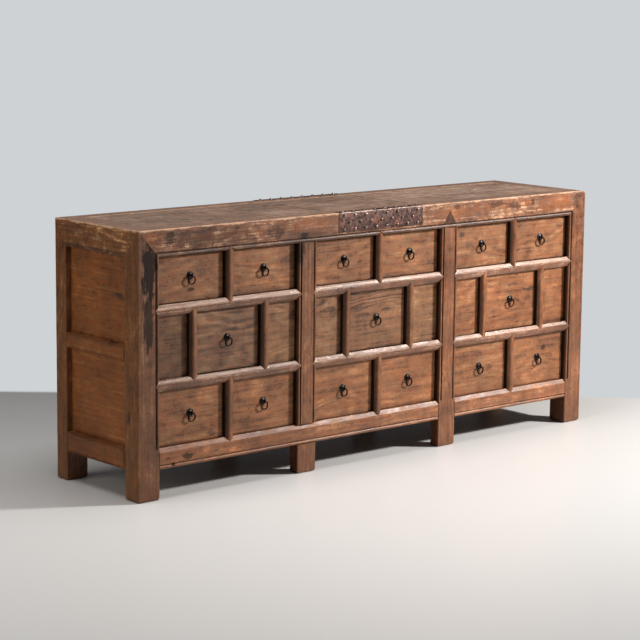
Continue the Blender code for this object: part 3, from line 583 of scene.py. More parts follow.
drawer_marks = [
    ((-0.803, front + 0.020, 0.669), (0.014, 0.03, 0.005), 0.75),
    ((-0.079, front + 0.020, 0.699), (0.012, 0.03, 0.006), 0.40),
    ((0.478, front + 0.020, 0.735), (0.012, 0.03, 0.005), 0.35),
    ((0.845, front + 0.020, 0.300), (0.012, 0.03, 0.009), 0.60),
    ((0.560, front + 0.020, 0.262), (0.016, 0.03, 0.008), 0.50)]
print(len(post_patches) + len(top_patches), "patches of old lacquer")

# %% Mix the wood finishes
# This dark colour serves the dirt and old lacquer, and also the painted shade.
soot_and_shade = rgb(30, 21, 17)
# The frame gets painted shade in the openings and on faces that lean left, and painted light on its left end
# faces.
frame_wood = wood("worn frame elm", rgb(78, 44, 26), rgb(124, 77, 48), rgb(170, 118, 82), soot_and_shade,
                  0.42, 0.35, 0.15, 0.005, post_patches, 0.15, opening_shade=0.9, away=0.6, painted_end_light=1.0)
# The top frame gets painted light on its left end, a paler grey on upward faces that is partly painted
# sheen, a darker bead, and a wide pale arris that is partly wear and partly a painted highlight.
top_frame_wood = wood("chipped top frame elm", rgb(70, 42, 28), rgb(122, 78, 52), rgb(218, 172, 138), soot_and_shade,
                      0.42, 0.95, 0.1, 0.005, top_patches, 0.15, bare_reach=0.007, chips=0.022,
                      stains=amber_patches, bead_darkening=0.6, painted_end_light=0.8, grey_and_sheen=0.6, relief=0.0020)
# The cross rails get a pale painted highlight on their upper slopes, and painted shade in the openings and
# on faces that lean left.
rail_wood = wood("rubbed cross rail elm with painted highlight", rgb(70, 42, 30), rgb(118, 76, 54), rgb(192, 152, 128), soot_and_shade,
                 0.36, 0.2, 0.3, 0.004, (((0.401, front, 0.446), (0.036, 0.03, 0.014), 0.6),),
                 0.1, opening_shade=0.9, away=0.5, upper=0.45, sheen=0.6, relief=0.0030, glint=(1.0, 0.84, 0.76, 1))
# The drawer fronts and panels get painted shade on their top faces.
drawer_wood = wood("rubbed drawer elm", rgb(98, 56, 32), rgb(146, 94, 59), rgb(182, 128, 86),
                   soot_and_shade, 0.45, 0.35, 0.4, 0.006, drawer_marks, 0.25, top_dirt=0.5)
curly_wood = wood("curly drawer elm", rgb(80, 49, 32), rgb(142, 94, 62), rgb(176, 126, 88),
                  soot_and_shade, 0.45, 0.35, 0.5, 0.006, (), 0.2, curl=0.34, top_dirt=0.5)
arched_wood = wood("arched drawer elm", rgb(92, 58, 40), rgb(136, 92, 64), rgb(172, 124, 90),
                   soot_and_shade, 0.45, 0.35, 0.5, 0.006, (), 0.42, top_dirt=0.5)
top_wood = wood("greyed top elm", rgb(98, 74, 61), rgb(146, 116, 99), rgb(184, 154, 135), soot_and_shade,
                0.52, 0.2, 0.8, 0.006, (), 0.2, mottling=0.7, sheen=0.35)
end_wood = wood("shaded end elm", rgb(104, 58, 24), rgb(142, 84, 38), rgb(172, 112, 58), soot_and_shade,
                0.5, 0.2, 0.6, 0.014, (), 0.12)
inside_wood = wood("bare inside wood", rgb(104, 74, 50), rgb(146, 112, 80), rgb(176, 144, 110),
                   rgb(60, 46, 36), 0.7, 0.0, 0.3, 0.015, (), 0.5)
head_wood = wood("lacquered post head", rgb(44, 26, 18), rgb(74, 46, 33), rgb(108, 70, 48), soot_and_shade,
                 0.6, 0.15, 0.2, 0.004, (), 0.1, sheen=0.25)
print("wood finishes:", [m.name for m in bpy.data.materials if "elm" in m.name or "wood" in m.name])

# %% [markdown]
# ## The iron
# The straps were hammered from sheet and have rusted under wax. Rust grows in soft
# patches, and the bare metal between them is dark and slightly polished. Rust is
# not a metal, so the metallic value falls wherever the rust mask rises.

# %% Mix the iron finishes
def wrought(name, dark, mid, rust, share_of_rust, roughness=0.42, bend_highlight=0.0):
    made, tree, shader = start_material(name, mid)
    world = add(tree, "TexCoord", out=3)
    patches = cloud(tree, world, 42, 5, 0.62, 0.3)
    grit = cloud(tree, world, 420, 3, 0.6)
    dents = cloud(tree, world, 110, 2, 0.5)
    both = plus(tree, times(tree, patches, 0.8),
                 times(tree, grit, 0.2))
    mask = soft_step(tree, both, 0.62 - share_of_rust * 0.3, 0.70 - share_of_rust * 0.25)
    metal = blend(tree, soft_step(tree, dents, 0.3, 0.7), (*dark, 1), (*mid, 1))
    colour = blend(tree, mask, metal, (*rust, 1))
    # Painted highlight: where the strap bends over the top edge, patches are painted pale.
    if bend_highlight:
        lean = add(tree, "SeparateXYZ", add(tree, "Attribute", out=1, attribute_name="lean"), out=2)
        worn = times(tree, soft_step(tree, lean, 0.15, 0.4),
                     soft_step(tree, lean, 0.9, 0.98, 1.0, 0.0))
        worn = times(tree, worn, soft_step(tree, patches, 0.4, 0.55, 0.2, bend_highlight))
        colour = blend(tree, worn, colour, rgb(214, 190, 176) + (1,))
    tree.links.new(colour, shader.inputs["Base Color"])
    tree.links.new(maths(tree, "SUBTRACT", 0.85, times(tree, mask, 0.8)),
                   shader.inputs["Metallic"])
    tree.links.new(plus(tree, roughness, times(tree, mask, 0.3)),
                   shader.inputs["Roughness"])
    emboss(tree, shader, plus(tree, dents, times(tree, grit, 0.5)), 0.5, 0.0006)
    return made


# The front and back straps carry a painted highlight along their bend.
strap_iron = wrought("rusted strap iron", rgb(50, 36, 34), rgb(92, 70, 64), rgb(134, 84, 66),
                     0.32, 0.5, 0.9)
nail_iron = wrought("nail iron", rgb(96, 76, 70), rgb(176, 150, 138), rgb(122, 86, 70), 0.3, 0.34)
rose_iron = wrought("rose iron", rgb(24, 21, 21), rgb(60, 53, 50), rgb(58, 40, 32), 0.2, 0.38)
ring_iron = wrought("ring iron", rgb(20, 15, 13), rgb(44, 33, 27), rgb(56, 36, 25), 0.3, 0.45)

# %% [markdown]
# ## Mouldings round every opening
# On the real front each opening is framed by a moulding. Posts and the top rail carry a
# bead, a thin half round with a sharp groove behind it. Cross rails and dividers slope
# up from both sides to a ridge. Neighbours meet in mitres, which is why every rail and
# divider seems to end in a point. So the mouldings are made opening by opening, four
# strips to each, sawn at the mitre. Each strip is then glued to the member that the
# maker cut it from.

# %% Members and the strips that belong to them
bead_deep = 0.011
bead_rise = 0.006
groove_deep = 0.0015
groove_wide = 0.002
ridge_rise = 0.007
strip_step = 0.02
members = {}


def strip_outline(edge, away, width, quirk):
    """Cross-section of a strip: (across, behind the front), from the opening outwards."""
    bead = width - quirk
    points = [(0, bead_deep)]
    groove = bead_rise + groove_deep
    if quirk:
        for n in range(11):
            angle = math.pi * n / 10
            points.append((bead / 2 * (1 - math.cos(angle)), bead_rise * (1 - math.sin(angle))))
        points += [(bead, groove), (width, groove)]
    else:
        for n in range(7):
            points.append((width * n / 6, ridge_rise * (1 - n / 6) ** 1.7))
    points.append((width, bead_deep))
    return [(edge + away * across, front + behind) for across, behind in points]


def bead_strip(member, opening, side, widths, quirk, mitres, tails):
    """One strip of a frame. A mitre is the slope's run in this and in the other way."""
    x_low, x_high, z_low, z_high = opening
    upright = side in ("left", "right")
    away = -1 if side in ("left", "below") else 1
    edge = {"left": x_low, "right": x_high, "below": z_low, "above": z_high}[side]
    ends = (z_low, z_high) if upright else (x_low, x_high)
    points = strip_outline(edge, away, widths, quirk)
    stops = run(ends[0] - tails[0], ends[1] + tails[1], strip_step)
    made = bar(points if upright else [(b, a) for a, b in points], "z" if upright else "x", stops)
    for end, towards, mitre in ((ends[0], -1, mitres[0]), (ends[1], 1, mitres[1])):
        if mitre:
            this, other = mitre
            if upright:
                saw(made, (edge, front, end), (-away * other, 0, towards * this))
            else:
                saw(made, (end, front, edge), (towards * this, 0, -away * other))
    glue(members.setdefault(member, bmesh.new()), made)


# %% [markdown]
# ## The openings
# Each bay holds two drawers above, one drawer between two fixed panels in the middle,
# and two drawers below. The table says which member stands on each side of an opening,
# how wide its bead is, and how the corner is mitred. The bead of the top rail runs on
# over the middle posts, so at their heads there is no mitre.

# %% Frame the openings
post_edge, half_divider, half_rail, sill_edge = 0.015, divider / 2, cross_rail / 2, 0.014
head_rise = 0.060
middle_half = (post_edges[1][1] - post_edges[1][0]) / 2
corner_mitre = (post_edges[0][1] - post_edges[0][0], top - underside)


def frame_opening(opening, names, is_top, is_bottom):
    """Beads on the four sides of an opening; names are left, right, below, above."""
    lefts, rights, belows, aboves = names
    width = {n: post_edge if n.startswith("post") else half_divider for n in (lefts, rights)}
    low_width = sill_edge if is_bottom else half_rail
    high_width = post_edge if is_top else half_rail
    for side, name in (("left", lefts), ("right", rights)):
        this = width[name]
        is_post = name.startswith("post")
        low_mitre, low_tail = (this, low_width), low_width
        if is_bottom and is_post:
            low_mitre, low_tail = None, -play
        high_mitre, high_tail = (this, high_width), high_width
        if is_top and name in ("post_1", "post_4"):
            high_mitre, high_tail = corner_mitre, this * corner_mitre[1] / corner_mitre[0]
        elif is_top and is_post:
            high_mitre, high_tail = None, -play
        bead_strip(name, opening, side, this, groove_wide if is_post else 0,
                   (low_mitre, high_mitre), (low_tail, high_tail))
    for side, name, this in (("below", belows, low_width), ("above", aboves, high_width)):
        if side == "below" and is_bottom:
            continue
        mitres, tails = [], []
        for beside in (lefts, rights):
            ratio = (this, width[beside])
            if side == "above" and is_top and beside in ("post_2", "post_3"):
                mitres.append(None)
                tails.append(middle_half)
                continue
            if side == "above" and is_top and beside.startswith("post"):
                ratio = corner_mitre[::-1]
            mitres.append(ratio)
            tails.append(this * ratio[1] / ratio[0])
        quirk = groove_wide if name == "rail_top" else 0
        bead_strip(name, opening, side, this, quirk, mitres, tails)


openings = []
half_middle = middle_opening / 2
for number, (x_low, x_high) in enumerate(bays, 1):
    centre = (x_low + x_high) / 2
    post_left, post_right = f"post_{number}", f"post_{number + 1}"
    low_cross, high_cross = f"cross_rail_low_{number}", f"cross_rail_high_{number}"
    bar_top, bar_low, bar_left, bar_right = [
        f"divider_{where}_{number}" for where in ("top", "low", "left", "right")]
    for kind, from_x, to_x, row, names in (
            ("drawer_top", x_low, centre - half_divider, top_row,
             (post_left, bar_top, high_cross, "rail_top")),
            ("drawer_top", centre + half_divider, x_high, top_row,
             (bar_top, post_right, high_cross, "rail_top")),
            ("panel", x_low, centre - half_middle - divider, middle_row,
             (post_left, bar_left, low_cross, high_cross)),
            ("drawer_middle", centre - half_middle, centre + half_middle, middle_row,
             (bar_left, bar_right, low_cross, high_cross)),
            ("panel", centre + half_middle + divider, x_high, middle_row,
             (bar_right, post_right, low_cross, high_cross)),
            ("drawer_bottom", x_low, centre - half_divider, bottom_row,
             (post_left, bar_low, "sill", low_cross)),
            ("drawer_bottom", centre + half_divider, x_high, bottom_row,
             (bar_low, post_right, "sill", low_cross))):
        opening = (from_x, to_x, *row)
        openings.append((kind, number, opening))
        frame_opening(opening, names, row is top_row, row is bottom_row)
print(len(openings), "openings framed;", len(members), "members have beads")

# %% [markdown]
# ## Posts
# A middle post is one plank on end. Its head goes up into the top rail as a tall
# point, which shows only at the third post, above the rail's bead. The second post
# stands behind the long bottom rail and comes out below it as a leg, while the third
# runs in front of that rail. The feet are rounded by years of damp floors, so the
# lowest stations shrink.

# %% Middle posts
foot_round, post_ease = 0.009, 0.003
head_deep = 0.004
for number, (x_low, x_high) in ((2, post_edges[1]), (3, post_edges[2])):
    face, y_back, rebate = front - play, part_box(f"post_front_{number}")[1].y, front + bead_deep
    outline = [(x_low, rebate), (x_low + post_edge, rebate), (x_low + post_edge, face),
               (x_high - post_edge, face), (x_high - post_edge, rebate), (x_high, rebate),
               (x_high, y_back), (x_low, y_back)]
    square = [(x_low, face), (x_high, face), (x_high, y_back), (x_low, y_back)]
    leg_end, core_start = (sill_top, sill_top) if number == 3 else (leg_top - play, sill_top + play)
    leg = bar(square, "z", run(0, leg_end, 0.02, foot_round), post_ease, 3)
    core = bar(outline, "z", run(core_start, underside - play), 0.0008)
    glue(members[f"post_{number}"], core, wear(leg, 0.0020, 60, number))
    if number == 3:
        mid, base = (x_low + x_high) / 2, underside + post_edge + play
        half = middle_half * (1 - post_edge / head_rise)
        head = bar([(mid - half, base), (mid + half, base), (mid, underside + head_rise)], "y",
                   [(front - play, 0), (front + head_deep, 0)])
        piece("upright_3_head", head, head_wood, "carcass", ["post_front_3"],
              "z", "y", 1.0, 0.5)
print("middle posts have", [len(members[n].verts) for n in ("post_2", "post_3")], "points")

# %% [markdown]
# ## Corner posts and the three-way mitre
# At each upper corner a post and two rails of the top meet in one point, and every
# joint line there is a diagonal. Each member is sawn by two planes through that
# corner. A plane's slope follows from how far each member reaches into the joint.

# %% Saw a member's share of a three-way mitre
def three_way(mesh, corner, reach, owner):
    """Keep the part of a member that lies furthest along its own run."""
    ways = [-1 if corner[0] > 0 else 1, -1 if corner[1] > 0 else 1, -1]
    for other in range(3):
        if other != owner:
            slope = Vector((0, 0, 0))
            slope[owner] = -ways[owner] / reach[owner]
            slope[other] = ways[other] / reach[other]
            slope.normalize()
            saw(mesh, Vector(corner) - slope * play / 2, slope)
    return mesh


# %% Round the right end, which knocks have worn
round_reach = 0.020


def round_corner(mesh):
    """Cut extra rings near the top's right end and draw them in to a quarter circle."""
    x_from, z_from = right - round_reach, top - round_reach
    for share in (0.0, 0.33, 0.66):
        for point, normal in (((x_from + round_reach * share, 0, 0), (1, 0, 0)),
                              ((0, 0, z_from + round_reach * share), (0, 0, 1))):
            faces = [f for f in mesh.faces if max(v.co.x for v in f.verts) > x_from + 1e-5]
            edges = {e for f in faces for e in f.edges}
            verts = {v for f in faces for v in f.verts}
            bmesh.ops.bisect_plane(mesh, geom=[*verts, *edges, *faces],
                                   dist=1e-5, plane_co=point, plane_no=normal)
    for vert in mesh.verts:
        across, upwards = vert.co.x - x_from, vert.co.z - z_from
        far = math.hypot(across, upwards)
        if across > 0 and upwards > 0 and far > round_reach:
            vert.co.x = x_from + across * round_reach / far
            vert.co.z = z_from + upwards * round_reach / far
    return mesh


# %% Corner posts, front and back
post_wide = corner_mitre[0]
joint_high = top - underside
for number, node in ((1, "post_front_1"), (4, "post_front_4"), (5, "post_back_1"), (6, "post_back_4")):
    low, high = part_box(node)
    at_left, at_front = low.x < 0, number < 5
    x_corner, y_corner = (low.x if at_left else high.x), (front if at_front else back)
    y_low, y_high = (front, high.y) if at_front else (low.y, back)
    if at_front and at_left:
        outline = [(low.x, y_low), (high.x - post_edge, y_low), (high.x - post_edge, y_low + bead_deep),
                   (high.x, y_low + bead_deep), (high.x, y_high), (low.x, y_high)]
    elif at_front:
        outline = [(low.x, y_low + bead_deep), (low.x + post_edge, y_low + bead_deep),
                   (low.x + post_edge, y_low), (high.x, y_low), (high.x, y_high), (low.x, y_high)]
    else:
        outline = [(low.x, y_low), (high.x, y_low), (high.x, y_high), (low.x, y_high)]
    core = wear(bar(outline, "z", run(sill_top, top, 0.025), post_ease, 3), 0.0018, 40, number)
    if not at_left:
        round_corner(core)
    three_way(core, (x_corner, y_corner, top), (post_wide, high.y - low.y, joint_high), 2)
    square = [(low.x, y_low), (high.x, y_low), (high.x, y_high), (low.x, y_high)]
    leg = bar(square, "z", run(0, sill_top, 0.02, foot_round), post_ease, 3)
    wear(leg, 0.0020, 60, number)
    glue(members.setdefault(f"post_{number}", bmesh.new()), core, leg)

# %% Back posts in the middle
for number, node in ((7, "post_back_2"), (8, "post_back_3")):
    low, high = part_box(node)
    outline = [(low.x, low.y), (high.x, low.y), (high.x, high.y), (low.x, high.y)]
    members[f"post_{number}"] = bar(outline, "z", run(0, underside - play, 0.03, 0.006), 0.0015)

# %% Name the posts as pieces
post_nodes = {1: "post_front_1", 2: "post_front_2", 3: "post_front_3", 4: "post_front_4",
              5: "post_back_1", 6: "post_back_4", 7: "post_back_2", 8: "post_back_3"}
post_tones = {1: (0.80, 0.45), 2: (1.02, 0.5), 3: (1.0, 0.65), 4: (0.96, 0.55)}
for number, node in post_nodes.items():
    tone, warmth = post_tones.get(number, (0.85, 0.5))
    mesh = members.pop(f"post_{number}")
    piece(node.replace("post", "upright"), mesh, frame_wood, "carcass", [node],
          "z", "y", tone, warmth, sharp=12)

# %% [markdown]
# ## Cross rails, dividers and fixed panels
# Behind the mouldings each rail and divider is a plain square bar. The bars stop at their
# neighbours, and only the beads run on into the mitres. The six panels beside the
# middle drawers are thin boards set back as far as the drawer fronts.

# %% Bars behind the beads
lattice_nodes = ("lattice_left", "lattice_middle", "lattice_right")
y_core, y_rear = front + bead_deep - play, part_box("lattice_left")[1].y
for number, (x_low, x_high) in enumerate(bays, 1):
    centre, node = (x_low + x_high) / 2, lattice_nodes[number - 1]
    levels = {f"cross_rail_low_{number}": bottom_row[1], f"cross_rail_high_{number}": middle_row[1]}
    for name, level in levels.items():
        core = board((x_low + play, y_core, level), (x_high - play, y_rear, level + cross_rail), 0.0008)
        glue(members[name], core)
        piece(name, members.pop(name), rail_wood, "carcass", [node], "x", "y",
              (0.85, 1.0, 1.02)[number - 1], (0.4, 0.5, 0.55)[number - 1])
    aside = (middle_opening + divider) / 2
    for name, x_mid, row in ((f"divider_top_{number}", centre, top_row),
                             (f"divider_left_{number}", centre - aside, middle_row),
                             (f"divider_right_{number}", centre + aside, middle_row),
                             (f"divider_low_{number}", centre, bottom_row)):
        core = board((x_mid - half_divider, y_core, row[0] + play),
                     (x_mid + half_divider, y_rear - play, row[1] - play), 0.0008)
        glue(members[name], core)
        piece(name, members.pop(name), frame_wood, "carcass", [node], "z", "y",
              (0.95, 1.0, 1.02)[number - 1], (0.45, 0.5, 0.6)[number - 1])

# %% Fixed panels
face_y = front + 0.020
panel_lap, panel_thick = 0.004, 0.012
panel_tones = [(0.62, 0.25), (1.14, 0.05), (1.0, 0.3), (1.12, 0.05), (1.04, 0.6), (0.86, 0.7)]
panel_openings = [(n, o) for kind, n, o in openings if kind == "panel"]
for (number, opening), (tone, warmth), count in zip(panel_openings, panel_tones, range(1, 7)):
    x_low, x_high, z_low, z_high = opening
    mesh = board((x_low - panel_lap, face_y, z_low - panel_lap),
                 (x_high + panel_lap, face_y + panel_thick, z_high + panel_lap))
    piece(f"fixed_panel_{count}", mesh, curly_wood if count == 3 else drawer_wood, "carcass",
          [lattice_nodes[number - 1]], "x", "y", tone, warmth)

# %% [markdown]
# ## The long bottom rail
# Its upper edge is planed to a slope so that dust slides out, and its lower edge
# carries a bead. It is one timber with a gap where the third post stands in front. The
# rail at the back is in three lengths, which stop at the back posts.

# %% Bottom rails
sill_bead, sill_slope = 0.013, 0.009
rail_ease = 0.0015


def sill_outline(y_back):
    """Cross-section of the bottom rail, as (y, z)."""
    points = [(y_back, leg_top), (front + bead_rise, leg_top)]
    for n in range(1, 11):
        angle = math.pi * n / 10
        points.append((front + bead_rise * (1 - math.sin(angle)),
                       leg_top + sill_bead / 2 * (1 - math.cos(angle))))
    groove, floor_y = leg_top + sill_bead, front + bead_rise + groove_deep
    points += [(floor_y, groove), (floor_y, groove + groove_wide), (front, groove + groove_wide),
               (front, sill_top - sill_edge), (front + sill_slope, sill_top), (y_back, sill_top)]
    return points


sill = bmesh.new()
for start, end in ((bays[0][0] + play, post_edges[2][0] - play),
                   (post_edges[2][1] + play, bays[2][1] - play)):
    length = bar(sill_outline(sill_high.y), "x", run(start, end, 0.02), 0.0006)
    glue(sill, wear(length, 0.0012, 50, start))
piece("bottom_rail", sill, frame_wood, "carcass", ["rail_bottom_front"],
      "x", "y", 1.32, 0.5)

for name, node, grain, face in (("bottom_rail_back", "rail_bottom_back", "x", "y"),
                                ("bottom_rail_left", "rail_bottom_left", "y", "x"),
                                ("bottom_rail_right", "rail_bottom_right", "y", "x")):
    low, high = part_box(node)
    made = bmesh.new()
    if grain == "x":
        (two_low, two_high), (three_low, three_high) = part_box("post_back_2"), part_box("post_back_3")
        ends = [(bays[0][0], two_low.x), (two_high.x, three_low.x), (three_high.x, bays[2][1])]
        lengths = [((a + play, low.y, leg_top), (b - play, high.y, sill_top)) for a, b in ends]
    else:
        y_from, y_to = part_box("post_front_1")[1].y + play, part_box("post_back_1")[0].y - play
        lengths = [((low.x, y_from, leg_top), (high.x, y_to, sill_top))]
    for one, other in lengths:
        glue(made, wear(board(one, other, rail_ease), 0.001))
    piece(name, made, end_wood if grain == "y" else frame_wood,
          "carcass", [node], grain, face, 0.9, 0.5)

# %% [markdown]
# ## The frame of the top
# Four members hold the boards of the top. The front one is the deep rail above the
# drawers, with a bead along its lower edge. They are sawn by the same planes as the
# posts, so that the three diagonals meet.

# %% Top frame
def frame_member(name, node, axis, outline, reach_y, ends, tone, warmth, seed, face):
    """One member: worn, sawn at its mitres, and glued to its bead if it has one."""
    made = bar(outline, axis, run(*ends, 0.02), 0.0024, 3)
    wear(made, 0.0022, 38, seed)
    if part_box(node)[1].x > right - 0.001:
        round_corner(made)
    for corner in corners_of(node):
        reach = (post_wide, reach_y[0] if corner[1] < 0 else reach_y[1], joint_high)
        three_way(made, corner, reach, "xyz".index(axis))
    if node == "rail_top_front":
        made = glue(members.pop("rail_top"), made)
    return piece(name, made, top_frame_wood, "carcass", [node], axis, face,
                 tone, warmth, sharp=12)


def corners_of(node):
    """The upper corners of the cabinet where a member ends."""
    x_sides = {"rail_top_left": (left,), "rail_top_right": (right,)}.get(node, (left, right))
    y_sides = {"rail_top_front": (front,), "rail_top_back": (back,)}.get(node, (front, back))
    return [(x, y, top) for x in x_sides for y in y_sides]


front_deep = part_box("post_front_1")[1].y - front
back_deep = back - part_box("post_back_1")[0].y
reaches = (front_deep, back_deep)
face_rail = [(front, underside + post_edge), (front + bead_deep, underside + post_edge),
             (front + bead_deep, underside), (front + front_deep, underside),
             (front + front_deep, top), (front, top)]
frame_member("top_rail_front", "rail_top_front", "x", face_rail, reaches, (left, right),
             1.05, 0.6, 1, "y")
rear_rail = [(back - back_deep, underside), (back, underside), (back, top), (back - back_deep, top)]
frame_member("top_rail_back", "rail_top_back", "x", rear_rail, reaches, (left, right),
             0.95, 0.5, 2, "y")
for side, node, seed in ((left, "rail_top_left", 3), (right, "rail_top_right", 4)):
    inner = side + post_wide * (1 if side < 0 else -1)
    xs = sorted((side, inner))
    outline = [(xs[0], underside), (xs[1], underside), (xs[1], top), (xs[0], top)]
    frame_member("top_" + node.replace("_top", ""), node, "y", outline, reaches, (front, back),
                 1.0, 0.5, seed, "x")

# %% Boards of the top
top_y = (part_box("post_front_1")[1].y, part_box("post_back_1")[0].y)
seams = [corner.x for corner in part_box("top_board_middle")]
spans = [(bays[0][0] + play, seams[0] - play), seams, (seams[1] + play, bays[2][1] - play)]
joint_shares = (0.34, 0.70)
seam_gap = 0.0012
top_thick = 0.020
for (x_low, x_high), node in zip(spans, ("top_board_left", "top_board_middle", "top_board_right")):
    x_low, x_high = x_low + seam_gap, x_high - seam_gap
    joints = [top_y[0] + (top_y[1] - top_y[0]) * share for share in joint_shares]
    edges = [top_y[0] + play, *joints, top_y[1] - play]
    for n in range(3):
        mesh = board((x_low, edges[n] + play, top - top_thick),
                     (x_high, edges[n + 1] - play, top - play), 0.0008)
        tone = (1.2 if node.endswith("right") else 1.0) + 0.06 * ((n + len(node)) % 3 - 1)
        piece(f"{node}_{n + 1}", wear(mesh, 0.0006), top_wood, "carcass", [node],
              "x", "z", tone, 0.4)

# %% [markdown]
# ## The ends
# Each end is a frame with two panels, set back so that the frame throws a shadow.

# %% End panels and middle rails
rail_deep, panel_set_back, half_end_rail = 0.030, 0.020, 0.025
y_from, y_to = top_y[0] + play, top_y[1] - play
z_mid = (sill_top + underside) / 2
for side, outer, word in ((-1, left, "left"), (1, right, "right")):
    node = f"side_panel_{word}"
    rail_x = sorted((outer - side * play, outer - side * rail_deep))
    thin_x = sorted((outer - side * panel_set_back, outer - side * (panel_set_back + panel_thick)))
    for name, z_low, z_high in (("upper", z_mid + half_end_rail, underside),
                                ("lower", sill_top, z_mid - half_end_rail)):
        mesh = board((thin_x[0], y_from, z_low - panel_lap), (thin_x[1], y_to, z_high + panel_lap))
        piece(f"end_panel_{name}_{word}", mesh, end_wood, "carcass", [node],
              "y", "x", 1.0, 0.6)
    mesh = board((rail_x[0], y_from, z_mid - half_end_rail),
                 (rail_x[1], y_to, z_mid + half_end_rail), rail_ease)
    piece(f"end_rail_{word}", wear(mesh, 0.001), end_wood, "carcass", [node],
          "y", "x", 0.95, 0.5)

# %% Back boards
low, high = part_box("back_boards")
planks = 7
for n in range(planks):
    x_from = low.x + (high.x - low.x) * n / planks
    x_to = low.x + (high.x - low.x) * (n + 1) / planks
    mesh = board((x_from + play, low.y, low.z), (x_to - play, high.y, high.z), 0.001, 0.06)
    piece(f"back_board_{n + 1}", mesh, inside_wood, "carcass", ["back_boards"], "z", "y",
          0.8 + 0.05 * (n % 3), 0.5)

# %% [markdown]
# ## Iron straps and their nails
# Each strap is a sheet of iron bent over the edge of the top and held by rows of nails
# with domed heads. Its lower edge was cut by hand, so noise moves it a little.

# %% Straps
strap_thick, strap_drop, strap_reach, x_half = 0.0015, 0.068, 0.024, 0.194
strap_sides = ((-1, front, "strap_front"), (1, back, "strap_back"))
ragged = 0.0016


def nibbled(*spot, more):
    """How much the shears took off: smooth noise that is never below nought."""
    return max(0, noise.noise(Vector(spot)) + more)


for side, plane, node in strap_sides:
    thick, drop, reach = strap_thick, strap_drop, strap_reach
    outline = [(0, -0.0040), (0, -drop), (thick, -drop), (thick, -0.0005), (thick + 0.0015, 0),
               (reach + thick, 0), (reach + thick, thick), (0.0055, thick), (0.0028, 0.0007),
               (0.0008, -0.0013)]
    points = [(plane + side * (thick - a), top + b) for a, b in outline]
    mesh = bar(points, "x", run(-x_half, x_half, 0.006))
    for vert in mesh.verts:
        if vert.co.z < top - drop + 0.001:
            vert.co.z += ragged * nibbled(vert.co.x * 26, side * 5, 0, more=0.35)
        if abs(vert.co.x) > x_half - 0.001:
            inwards = nibbled(0, side, vert.co.z * 60, more=0.3)
            vert.co.x -= math.copysign(ragged, vert.co.x) * inwards
    piece(node + "_plate", mesh, strap_iron, "carcass", [node], "x", "y")


# %% Domed nails
def spun(points, centre, axis, steps, near):
    """Turn a line of points about an axis and close the foot of the shape."""
    mesh = bmesh.new()
    verts = [mesh.verts.new(point) for point in points]
    edges = [mesh.edges.new(pair) for pair in zip(verts, verts[1:])]
    bmesh.ops.spin(mesh, geom=verts + edges, cent=centre, axis=axis, angle=math.tau, steps=steps,
                   use_merge=True)
    bmesh.ops.remove_doubles(mesh, verts=mesh.verts, dist=near)
    bmesh.ops.contextual_create(mesh, geom=[e for e in mesh.edges if e.is_boundary])
    bmesh.ops.recalc_face_normals(mesh, faces=mesh.faces)
    return mesh


def nail(centre, way, radius, rise, seed):
    """The domed head of a nail; its size differs a little from nail to nail."""
    way = Vector(way)
    side = Vector((1, 0, 0))
    uneven = 1 + 0.08 * noise.noise(Vector((seed, 3, 1)))
    profile = [(radius, -0.0004), (radius * 0.99, 0.0006), (radius * 0.9, rise * 0.45),
               (radius * 0.68, rise * 0.78), (radius * 0.36, rise * 0.95), (0, rise)]
    points = [Vector(centre) + side * r * uneven + way * h for r, h in profile]
    return spun(points, centre, way, 14, 1e-5)


row_shares, row_nails, pitch = (0.16, 0.50, 0.84), (8, 7, 8), 2 * x_half / 8
side_head, top_head, top_inset = (0.0058, 0.0047), (0.0050, 0.0043), 0.011
for side, plane, node in strap_sides:
    heads = bmesh.new()
    for row, (share, count) in enumerate(zip(row_shares, row_nails)):
        for n in range(count):
            seed = n + row * 9 + side
            x = (n - (count - 1) / 2) * pitch + 0.0015 * noise.noise(Vector((seed, 0, 0)))
            z = top - strap_drop * share + 0.001 * noise.noise(Vector((0, seed, 0)))
            glue(heads, nail((x, plane + side * strap_thick, z), (0, side, 0), *side_head, seed))
    for n in range(8):
        at = ((n - 3.5) * pitch, plane - side * top_inset, top + strap_thick)
        glue(heads, nail(at, (0, 0, 1), *top_head, n))
    piece(node + "_nails", heads, nail_iron, "carcass", [node], "x", "y", sharp=60)

# %% [markdown]
# ## The drawers
# A drawer is a front board, two sides, a back and a bottom. The front hangs a little
# loose in its opening, and a dark line shows above it, where shade is also painted on
# the front's top face. Each front is pierced by an iron cotter pin through a round rose,
# and the pin's eye holds the ring.

# %% Tones of the fronts
front_tones = {
    "drawer_top_1": (0.85, 0.45), "drawer_top_2": (0.94, 0.45), "drawer_top_3": (1.03, 0.5),
    "drawer_top_4": (1.05, 0.45), "drawer_top_5": (0.97, 0.5), "drawer_top_6": (0.92, 0.58),
    "drawer_middle_1": (0.80, 0.40), "drawer_middle_2": (0.93, 0.4), "drawer_middle_3": (0.97, 0.72),
    "drawer_bottom_1": (0.96, 0.5), "drawer_bottom_2": (1.04, 0.5), "drawer_bottom_3": (0.96, 0.6),
    "drawer_bottom_4": (1.0, 0.62), "drawer_bottom_5": (0.99, 0.55), "drawer_bottom_6": (0.93, 0.58)}


